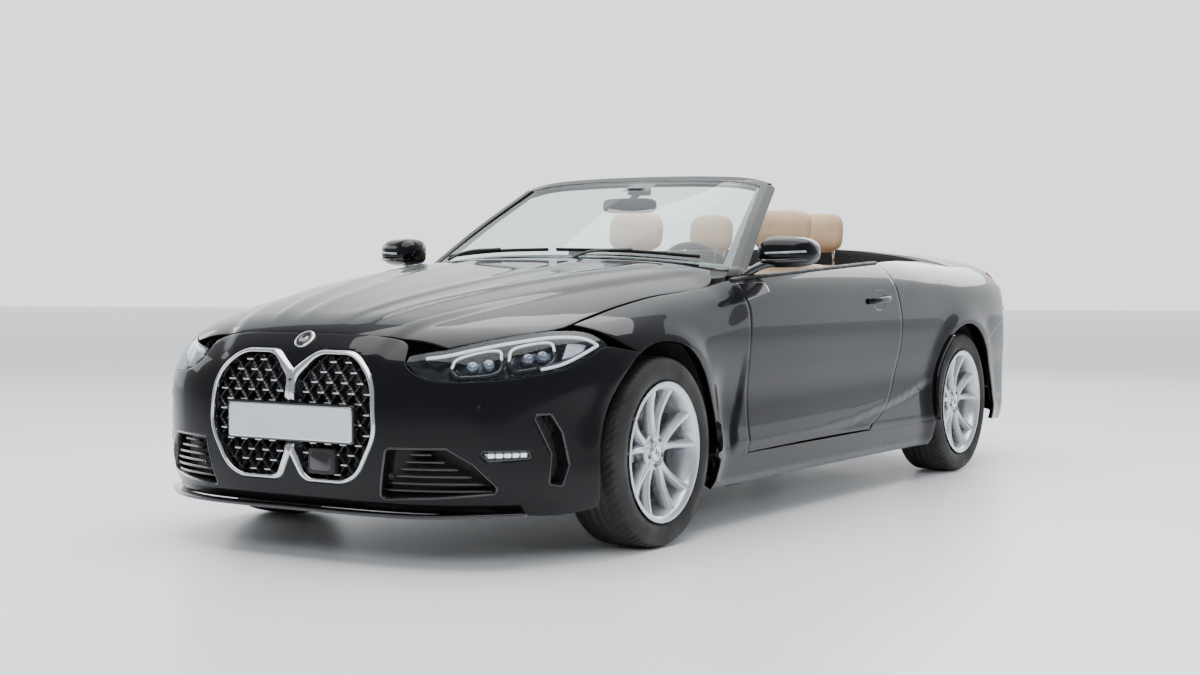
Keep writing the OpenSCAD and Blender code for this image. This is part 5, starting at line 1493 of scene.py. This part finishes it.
def door_mirror():
    """Housing: superellipse rings along X that swell and close at each end, flattened behind for the
    glass."""
    t = np.linspace(0, 1, 44)
    fill = (1 - np.abs(2 * t - 1) ** 3.4) ** 0.42
    fill[0], fill[-1] = 0.04, 0.04
    rings = []
    for s, f in zip(t, fill):
        r = ring_of(0.100 * f * (1 - 0.15 * s), 0.064 * f * (1 - 0.14 * s), 44, 2.7)
        y = -0.600 + 0.045 * s + np.minimum(r[:, 0], 0.052)
        rings.append(np.stack([np.full(44, 0.822 + 0.214 * s), y, 1.024 + r[:, 1]], 1))
    housing = solid(np.array(rings))
    stalk = solid(sweep(edge([(0.785, -0.665, 0.930), (0.812, -0.655, 0.955), (0.850, -0.635, 0.975),
                              (0.900, -0.61, 0.985)], 24), ring_of(0.036, 0.016, 20, 3), up=(0, 0, 1)))
    glass = outline(np.array([(0.848, 0.977), (1.010, 0.983), (1.018, 1.060), (0.856, 1.070)]), 0.022, 6, 8)
    face = flat_form(glass, 0.0, 0.002, 0.0008)
    face = moved_copy(face, lambda p: np.stack([p[:, 0], -p[:, 1] - 0.5475 + 0.21 * (p[:, 0] - 0.82),
                                                p[:, 2]], 1))
    blinker = solid(sweep(edge([(0.88, -0.692, 1.018), (0.96, -0.672, 1.022), (1.020, -0.622, 1.026)], 24),
                          ring_of(0.003, 0.004, 10, 3), up=(0, 0, 1)))
    seam = solid(sweep(edge([(0.838, -0.655, 0.994), (0.90, -0.688, 0.990), (0.965, -0.668, 0.992),
                             (1.02, -0.62, 0.998)], 24), ring_of(0.004, 0.006, 10, 3), up=(0, 0, 1)))
    for side, s in SIDES:
        def to(p, s=s):
            return p if s > 0 else mirrored(p)
        for name, part, mat in (("housing", housing, PAINT), ("stalk", stalk, GLOSS), ("glass", face, BRIGHT),
                                ("blinker", blinker, LENS), ("seam", seam, GLOSS)):
            piece(f"door_mirror_{name}_{side}", *moved_copy(part, to), mat, f"{side}_door",
                  slot="paint" if name == "housing" else None,
                  replaces=f"mirror_{side}" if name == "housing" else ())


def door_fittings():
    y = np.array([0.272, 0.285, 0.32, 0.38, 0.44, 0.475, 0.490])
    lift = np.array([0.0, 0.012, 0.021, 0.024, 0.021, 0.012, 0.0])
    bar = edge(flank(y, 0.828 + 0.05 * (y - 0.38)) + np.stack([lift, 0 * y, 0 * y], 1), 40)
    handle = solid(sweep(bar, ring_of(0.0065, 0.0125, 20, 2.6), up=(0, 0, 1)))
    a = np.linspace(0, 2 * np.pi, 49)[:-1]
    cup = []
    for f, d in ((1.06, 0.0008), (1.0, 0.0012), (0.9, -0.006), (0.6, -0.016), (0.02, -0.018)):
        p = flank(0.383 + 0.070 * f * np.cos(a), 0.826 + 0.042 * f * np.sin(a))
        cup.append(p + np.stack([np.full(48, d), 0 * a, 0 * a], 1))
    cup = np.array(cup)
    yy = np.linspace(DOOR_FRONT + 0.004, 0.522, 81)
    share = (yy - yy[0]) / (yy[-1] - yy[0])
    belt = flank(yy, 0.914 + 0.07 * share ** 0.8) + (-0.004, 0, 0.003)
    strip = solid(sweep(belt, ring_of(0.010, 0.006, 14, 3), up=(0.3, 0, 1)))
    n, m = 12, 40
    v, u = np.meshgrid(np.linspace(0, 1, n), np.linspace(0, 1, m), indexing="ij")
    fy = DOOR_FRONT + 0.008 + u * 0.19
    fz = 0.842 + 0.030 * u + v * (0.068 - 0.030 * u)
    patch_grid = flank(fy, fz) + (0.0012, 0, 0)
    for side, s in SIDES:
        def to(p, s=s):
            return p if s > 0 else mirrored(p)
        door = f"{side}_door"
        piece(f"door_handle_{side}", *moved_copy(handle, to), PAINT, door)
        g = to(cup)
        points = g.reshape(-1, 3)
        faces = facing(points, grid_faces(*g.shape[:2], wrap_m=True),
                       np.broadcast_to((float(s), 0, 0), points.shape))
        piece(f"door_handle_cup_{side}", points, faces, GLOSS, door)
        piece(f"door_belt_seal_{side}", *moved_copy(strip, to), RUBBER, door)
        sheet(f"door_mirror_base_{side}", to(patch_grid), GLOSS, door, wall=0.001)


inner_mirror()
door_mirror()
door_fittings()


# ---- Cabin ----
def leaned(part, foot, degrees):
    """A form turned about a line across the car through foot (y, z), its top going back."""
    a = math.radians(degrees)

    def turn(p):
        y, z = p[:, 1] - foot[0], p[:, 2] - foot[1]
        return np.stack([p[:, 0], foot[0] + y * math.cos(a) + z * math.sin(a),
                         foot[1] - y * math.sin(a) + z * math.cos(a)], 1)
    return moved_copy(part, turn)


def cushion(centre, size, face, flutes=5, bolster=0.2, raised=0.012, crown=0.010, seam=0.005, power=5.0):
    """A stuffed block: a closed superellipsoid in (angle, angle), swollen by crown, with bolsters raised at
    each side of the sitting face (face is the axis and sign it looks along) and grooves where it is
    stitched."""
    n, m = 64, 84
    v, u = np.meshgrid(np.linspace(-np.pi / 2, np.pi / 2, n), np.linspace(-np.pi, np.pi, m, endpoint=False),
                       indexing="ij")

    def rounded(c, s, p):
        return np.sign(c) * np.abs(c) ** (2 / p), np.sign(s) * np.abs(s) ** (2 / p)
    cu, su = rounded(np.cos(u), np.sin(u), power)
    cv, sv = rounded(np.cos(v), np.sin(v), power)
    p = np.stack([sv, cv * cu, cv * su], -1)
    half = np.asarray(size, float) / 2
    axis, sign = face
    up = 2 if axis == 1 else 1
    lift = np.clip(p[..., axis] * sign, 0, 1) ** 2
    x, h = p[..., 0], p[..., up]
    side = ramp(1 - bolster * 2 - 0.10, 1 - bolster * 2 + 0.18, np.abs(x))
    line = np.exp(-((np.abs(x) - (1 - bolster * 2)) / 0.018) ** 2)
    wave = np.abs(np.mod(h * flutes / 2 + 0.5, 1) - 0.5) * 2 / flutes
    groove = np.exp(-(wave / 0.025) ** 2) * (1 - side) * (np.abs(h) < 0.93)
    swell = crown * (1 - x ** 2) * (1 - h ** 2)
    shift_by = lift * (raised * side + swell - seam * np.maximum(line, groove))
    q = p * half
    q[..., axis] += sign * shift_by
    welt = np.exp(-((np.abs(p[..., axis]) - 0.0) / 0.02) ** 2) * 0.0018
    q *= (1 + welt / half.min())[..., None]
    q = q + np.asarray(centre, float)
    points = np.concatenate([q[1:-1].reshape(-1, 3), q[:1].mean(1), q[-1:].mean(1)])
    k = n - 2
    j = np.arange(m)
    low = np.stack([np.full(m, k * m), (j + 1) % m, j], 1)
    top = np.stack([np.full(m, k * m + 1), (k - 1) * m + j, (k - 1) * m + (j + 1) % m], 1)
    return points, centre_out(points, [grid_faces(k, m, wrap_m=True), low, top])


def pillow(name, part, material, body, fill, **more):
    obj = piece(name, *part, material, body, **more)


def front_seats():
    base = leaned(cushion((0, 0.140, 0.478), (0.500, 0.500, 0.140), (2, 1), 5), (0.14, 0.478), -4)
    back = leaned(cushion((0, 0.500, 0.745), (0.500, 0.104, 0.470), (1, -1), 7, raised=0.016), (0.500, 0.745),
                  13.5)
    head = leaned(cushion((0, 0.485, 1.130), (0.270, 0.094, 0.178), (1, -1), 1, bolster=0.06, raised=0,
                          crown=0.012, seam=0.002, power=3.6), (0.485, 1.130), 9)
    shell = leaned(solid(rounded_block(np.array([0, 0.552, 0.71]), (0.44, 0.020, 0.44), 6, 40,
                                       axes=(0, 2, 1))),
                   (0.552, 0.71), 13.5)
    posts = joined([turned([(0.93, 0.0002), (0.93, 0.0062), (1.07, 0.0062), (1.07, 0.0002)],
                           (s * 0.07, 0.505, 0), 20, "z") for s in (-1, 1)])
    plinth = solid(rounded_block(np.array([0, 0.115, 0.300]), (0.30, 0.34, 0.205), 8, 40))
    rails = joined([solid(rounded_block(np.array([s * 0.135, 0.13, 0.212]), (0.034, 0.37, 0.03), 8, 24))
                    for s in (-1, 1)])
    for side, s in SIDES:
        def at(p, s=s):
            return p + (s * 0.38, 0, 0)
        pillow(f"seat_base_{side}", moved_copy(base, at), TAN, "car_body", 0.8, slot="beige_leather",
               replaces=f"front_seat_{side}")
        pillow(f"seat_back_{side}", moved_copy(back, at), TAN, "car_body", 0.8, slot="beige_leather")
        pillow(f"seat_headrest_{side}", moved_copy(head, at), TAN, "car_body", 0.9, slot="beige_leather")
        piece(f"seat_back_shell_{side}", *moved_copy(shell, at), MATT, "car_body")
        piece(f"seat_posts_{side}", *moved_copy(posts, at), BRIGHT, "car_body")
        piece(f"seat_plinth_{side}", *moved_copy(plinth, at), MATT, "car_body")
        piece(f"seat_rails_{side}", *moved_copy(rails, at), CAST, "car_body")


def rear_seats():
    base = leaned(cushion((0, 0.835, 0.418), (0.462, 0.360, 0.140), (2, 1), 4), (0.83, 0.418), -3)
    back = leaned(cushion((0, 1.098, 0.735), (0.462, 0.096, 0.470), (1, -1), 6), (1.098, 0.735), 7)
    head = leaned(cushion((0, 1.072, 1.130), (0.222, 0.086, 0.180), (1, -1), 1, bolster=0.06, raised=0,
                          crown=0.010, seam=0.002, power=3.6), (1.072, 1.130), 6)
    posts = joined([turned([(0.95, 0.0002), (0.95, 0.0056), (1.07, 0.0056), (1.07, 0.0002)],
                           (s * 0.06, 1.09, 0), 20, "z") for s in (-1, 1)])
    for side, s in SIDES:
        def at(p, s=s):
            return p + (s * 0.295, 0, 0)
        pillow(f"rear_base_{side}", moved_copy(base, at), TAN, "car_body", 0.8, slot="beige_leather",
               replaces="rear_seat")
        pillow(f"rear_back_{side}", moved_copy(back, at), TAN, "car_body", 0.8, slot="beige_leather")
        pillow(f"rear_headrest_{side}", moved_copy(head, at), TAN, "car_body", 0.9, slot="beige_leather")
        piece(f"rear_posts_{side}", *moved_copy(posts, at), BRIGHT, "car_body")
    piece("rear_seat_divider", *solid(rounded_block(np.array([0, 0.86, 0.42]), (0.115, 0.40, 0.12), 7, 36)),
          DASH, "car_body")


def across_car(corners, radii, x0, x1, k=5, steps=5, cap=0.006):
    """A profile in the y-z plane carried across the car from x0 to x1, its ends drawn in a little."""
    loop = outline(corners, radii, k, steps)
    mid = loop.mean(0)
    rings = []
    for x, f in ((x0, 1 - cap / 0.12), (x0 + cap * 0.4, 1 - cap / 0.4), (x0 + cap, 1.0),
                 *[(x0 + cap + (x1 - x0 - 2 * cap) * t, 1.0) for t in np.linspace(0, 1, 9)[1:-1]],
                 (x1 - cap, 1.0), (x1 - cap * 0.4, 1 - cap / 0.4), (x1, 1 - cap / 0.12)):
        q = mid + (loop - mid) * f
        rings.append(np.stack([np.full(len(q), x), q[:, 0], q[:, 1]], 1))
    return solid(np.array(rings))


def dash():
    profile = [(-0.700, 0.905), (-0.640, 0.895), (-0.636, 0.66), (-0.56, 0.63), (-0.435, 0.76),
               (-0.42, 0.855), (-0.475, 0.932), (-0.56, 0.948), (-0.62, 0.93)]
    radii = [0.004, 0.004, 0.01, 0.02, 0.03, 0.03, 0.03, 0.03, 0.02]
    piece("dash_body", *across_car(profile, radii, -0.618, 0.618), DASH, "car_body", slot="soft_plastic",
          replaces="dashboard")
    inlay = across_car([(-0.445, 0.762), (-0.427, 0.764), (-0.413, 0.842), (-0.431, 0.846)], 0.005, -0.61,
                       0.61)
    piece("dash_inlay", *inlay, TAN, "car_body", slot="beige_leather")
    display = across_car([(-0.505, 0.942), (-0.497, 0.940), (-0.487, 1.030), (-0.495, 1.032)], 0.003, -0.13,
                         0.56)
    piece("dash_display", *display, GLOSS, "car_body")
    vents = []
    for x0, x1 in ((0.44, 0.60), (-0.11, 0.11), (-0.60, -0.44)):
        for k in range(3):
            z = 0.858 + 0.016 * k
            y = -0.424 - 0.72 * 0.016 * k
            vents.append(across_car([(y - 0.006, z), (y + 0.005, z), (y + 0.003, z + 0.007),
                                     (y - 0.008, z + 0.007)],
                                    0.0015, x0, x1, 3, 2, 0.003))
    piece("dash_vents", *joined(vents), GLOSS, "car_body")
    rim = across_car([(-0.424, 0.846), (-0.412, 0.845), (-0.411, 0.850), (-0.423, 0.851)], 0.0015, -0.61,
                     0.61, 3)
    piece("dash_trim_line", *rim, CHROME, "car_body")
    body = solid(rounded_block(np.array([0, -0.09, 0.478]), (0.216, 1.012, 0.156), 9, 44))
    piece("console_body", *body, DASH, "car_body", slot="soft_plastic", replaces="centre_console")
    rest = cushion((0, 0.255, 0.560), (0.196, 0.30, 0.026), (2, 1), 1, bolster=0.02, raised=0, crown=0.002,
                   seam=0, power=4)
    piece("console_armrest", *rest, TAN, "car_body", slot="beige_leather")
    piece("console_plate", *solid(rounded_block(np.array([0, -0.12, 0.555]), (0.15, 0.36, 0.012), 6, 40)),
          GLOSS, "car_body")
    knob = turned([(0.555, 0.0003), (0.555, 0.018), (0.562, 0.022), (0.566, 0.020), (0.568, 0.0003)],
                  (0.0, -0.05, 0), 40, "z")
    lever = solid(rounded_block(np.array([0.0, -0.20, 0.563]), (0.036, 0.056, 0.010), 4, 28))
    piece("console_controls", *joined([knob, lever]), BRIGHT, "car_body")


STEER = np.array([0.38, -0.300, 0.900])


def steering():
    """The wheel is drawn flat about its own axis, then leaned back onto the column's line."""
    a = math.radians(65)

    def lean(p):
        return np.stack([p[:, 0], p[:, 1] * math.cos(a) + p[:, 2] * math.sin(a),
                         -p[:, 1] * math.sin(a) + p[:, 2] * math.cos(a)], 1) + STEER
    t = np.linspace(0, 2 * np.pi, 29)[:-1]
    rim = turned(np.stack([0.015 * np.sin(t), 0.169 + 0.016 * np.cos(t)], 1), k=140, axis="z")
    parts = []
    for k in (0, 180, 270):
        b = math.radians(k)
        line = edge([(0.045 * math.cos(b), 0.045 * math.sin(b), 0.0),
                     (0.11 * math.cos(b), 0.11 * math.sin(b), -0.004),
                     (0.163 * math.cos(b), 0.163 * math.sin(b), -0.001)], 20)
        parts.append(solid(sweep(line, ring_of(0.019, 0.007, 20, 3.5), up=(0, 0, 1))))
    pad = solid(rounded_block(np.array([0, 0, -0.006]), (0.15, 0.118, 0.040), 3.4, 56,
                              layers=(0, 0.05, 0.2, 0.5, 0.75, 0.88, 0.95, 1)))
    column = turned([(-0.150, 0.0004), (-0.150, 0.029), (-0.060, 0.029), (-0.045, 0.040), (-0.020, 0.052),
                     (-0.020, 0.0004)], k=48, axis="z")
    disc = turned([(0.010, 0.0003), (0.010, 0.021), (0.0155, 0.020), (0.0165, 0.0003)], k=40, axis="z")
    for name, part, mat in (("rim", rim, BLACK_HIDE), ("pad", pad, BLACK_HIDE), ("column", column, MATT),
                            ("spokes", joined(parts), GLOSS), ("disc", disc, BRIGHT)):
        piece(f"steering_{name}", *moved_copy(part, lean), mat, "steering",
              slot="black_leather" if name == "rim" else None, replaces="steering_wheel" if name == "rim"
              else ())


def floor_and_trim():
    x = np.linspace(-0.69, 0.69, 91)
    y = np.linspace(-0.874, 0.632, 30)
    xx, yy = np.meshgrid(x, y)
    zz = 0.199 + 0.207 * ramp(0.172, 0.150, np.abs(xx)) + 0.068 * ramp(0.680, 0.692, np.abs(xx))
    sheet("floor_carpet", np.stack([xx, yy, zz], -1), CARPET, "car_body", out=(0, 0, 1), slot="carpet",
          wall=0.002)
    n, m = 40, 50
    top = laid(edge([tuple(flank(0.535, 0.985)), (0.795, 0.75, 0.99), (0.778, 1.0, 0.996),
                     (0.768, 1.185, 0.992)],
                    m))
    v = np.linspace(0, 1, n + 1)[:, None]
    inner = 0.640
    fall = ramp(0.18, 0.42, v)
    px = top[:, 0] - 0.002 - (top[:, 0] - 0.002 - inner) * (0.62 * np.minimum(v / 0.3, 1) + 0.38 * fall)
    pz = top[:, 2] - 0.001 - 0.010 * np.minimum(v / 0.3,
                                                1) - (top[:,
                                                          2] - 0.36) * np.clip((v - 0.25) / 0.75, 0, 1) ** 1.1
    grid = np.stack([px, np.broadcast_to(top[:, 1], px.shape), pz], -1)
    half = int(n * 0.42)
    for side, s in SIDES:
        g = grid if s > 0 else mirrored(grid)
        sheet(f"rear_side_ledge_{side}", g[:half + 1], DASH, "car_body", out=(-s * 0.5, 0, 1), wall=0.002)
        sheet(f"rear_side_trim_{side}", g[half:], TAN, "car_body", out=(-s, 0, 0.2), slot="beige_leather",
              wall=0.002)
    x = np.linspace(-0.76, 0.76, 61)
    v = np.linspace(0, 1, 25)[:, None]
    front = laid(np.stack([np.abs(x), np.full(61, DECK_FRONT), np.full(61, 1.0)], 1))
    edge_z = front[:, 2] - 0.001
    grid = np.stack([np.broadcast_to(x, (25, 61)), 1.188 - 0.010 * np.minimum(v * 6, 1) + 0 * x,
                     edge_z - v * (edge_z - 0.62)], -1)
    sheet("rear_wall_trim", grid, CARPET, "car_body", out=(0, -1, 0), slot="carpet", wall=0.002)


def door_inside():
    """The door behind its skin: a closed box, a dark upper card, a leather lower card with an armrest."""
    n, m = 40, 60
    z = np.linspace(0.30, 0.978, n + 1)
    front_y = DOOR_FRONT + 0.085
    rear_y = smooth(DOOR_REAR, z) - 0.006
    u = np.linspace(0, 1, m + 1)
    yy = front_y + (rear_y[:, None] - front_y) * u
    top = 0.915 + 0.07 * ((yy - DOOR_FRONT) / (0.528 - DOOR_FRONT)) ** 0.8 - 0.006
    zz = 0.30 + (z[:, None] - 0.30) / (0.978 - 0.30) * (top - 0.30)
    outer = flank(yy, zz)
    core = outer - (0.006, 0, 0)
    card = outer - (0.1195, 0, 0)
    v = (zz - 0.30) / (top - 0.30)
    rest = np.exp(-((zz - 0.655) / 0.045) ** 4) * ramp(-0.42, -0.30, yy) * (1 - ramp(0.28, 0.40, yy)) * 0.008
    card[..., 0] -= rest
    card[..., 0] += 0.045 * ramp(0.84, 1.0, v) ** 2
    card[..., 1] = np.clip(card[..., 1], front_y, rear_y[:, None] - 0.014)
    split = int(n * 0.62)
    arms = []
    for hz in (0.43, 0.74):
        arms.append(turned([(hz - 0.024, 0.0064), (hz - 0.024, 0.011), (hz + 0.024, 0.011),
                            (hz + 0.024, 0.0064)],
                           (0.815, -0.772, 0), 32, "z"))
        arms.append(solid(rounded_block(np.array([0.797, -0.753, hz]), (0.044, 0.022, 0.036), 10, 24)))
    pull = solid(sweep(edge([(0.775, -0.20, 0.735), (0.748, -0.15, 0.742), (0.745, 0.0, 0.75),
                             (0.748, 0.12, 0.756),
                             (0.775, 0.17, 0.755)], 40), ring_of(0.008, 0.012, 14, 3), up=(0, 0, 1)))
    for side, s in SIDES:
        def to(p, s=s):
            return p if s > 0 else mirrored(p)
        door = f"{side}_door"
        sheet(f"door_core_{side}", to(core), MATT, door, out=(s, 0, 0), wall=0.096, replaces=f"door_{side}")
        sheet(f"door_card_low_{side}", to(card[:split + 1]), TAN, door, out=(-s, 0, 0), slot="beige_leather",
              wall=0.015)
        sheet(f"door_card_top_{side}", to(card[split:]), DASH, door, out=(-s, 0, 0), wall=0.015)
        piece(f"door_pull_{side}", *moved_copy(pull, to), BRIGHT, door)
        piece(f"door_hinges_{side}", *moved_copy(joined(arms), to), CAST, door)


def lid_arms():
    hood = [(-0.008, -0.009), (0, -0.010), (0, 0.010), (-0.06, 0.026), (-0.23, 0.0315), (-0.23, 0.02),
            (-0.07, 0.008)]
    boot = [(-0.01, 0), (0.01, 0), (0.01, -0.066), (0.14, -0.066), (0.14, 0.038), (0.30, 0.0395),
            (0.30, 0.028), (0.156, 0.026), (0.156, -0.084), (-0.01, -0.084)]
    for name, body, poly, x, at, nodes in (("bonnet_arms", "bonnet_panel", hood, 0.60, (-0.76, 0.925),
                                            "bonnet"),
                                           ("boot_arms", "boot_panel", boot, 0.56, (1.36, 0.985),
                                            "boot_lid")):
        parts = []
        for s in (-1, 1):
            p = np.array(poly) + at
            rings = [np.stack([np.full(len(p), s * x + d), p[:, 0], p[:, 1]], 1) for d in (-0.006, 0.006)]
            parts.append(solid(np.array(rings)))
            parts.append(turned([(-0.006, 0.0064), (-0.006, 0.011), (0.006, 0.011), (0.006, 0.0064)],
                                (s * x, *at), 32, "x"))
        piece(name, *joined(parts), CAST, body, smooth_shade=False, replaces=nodes)


for make in (front_seats, rear_seats, dash, steering, floor_and_trim, door_inside, lid_arms):
    make()


# ---- Lower front and small trim ----
def low_front():
    x = np.linspace(-0.74, 0.74, 121)
    base = front(np.abs(x), np.full(121, 0.20))
    line = np.stack([x, base[:, 1] + 0.006, np.full(121, 0.172) + 0.006 * ramp(0.45, 0.7, np.abs(x))], 1)
    lip = solid(sweep(line, outline([(-0.014, -0.008), (0.030, -0.008), (0.030, 0.004), (-0.008, 0.006)],
                                    0.003, 4, 3),
                      up=(0, 0, 1)))
    piece("front_lower_lip", *lip, GLOSS, "car_body")
    dots = []
    for px, pz in ((0.40, 0.30), (0.66, 0.52)):
        for s in (-1, 1):
            dots.append(on_surface(disc_profile(0.0105, 0.0012), front(px, pz) * (s, 1, 1), 28))
    piece("parking_sensors", *joined(dots), PAINT, "car_body")
    lamp_y = cast(np.array([0, 1.6, 0.985]), [0, 1.0, 0], 1.0)[1]
    strip = flat_form(rect(-0.16, 0.16, -0.004, 0.004, 0.003), 0.0, 0.008, 0.001)
    piece("high_brake_lamp", *moved_copy(strip, lambda p: p * (1, -1, 1) + (0, lamp_y + 0.002, 0.972)),
          RED_LENS, "boot_panel")


low_front()


# ---- Finish of the carried-over solid parts ----
NODE_FINISH = {"engine_block": ENGINE, "radiator": MATT, "arch_liners": LINER, "boot_tub": CARPET,
               "rear_bulkhead": CARPET, "exhaust": STEEL, "knuckle_left": CAST, "knuckle_right": CAST,
               "front_crash_beam": CAST, "front_subframe": CAST, "rear_subframe": CAST, "bulkhead": UNDER,
               "interior_mirror": MATT}
for name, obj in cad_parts.items():
    if not obj.hide_render:
        obj.data.materials.clear()
        obj.data.materials.append(NODE_FINISH.get(name, UNDER))
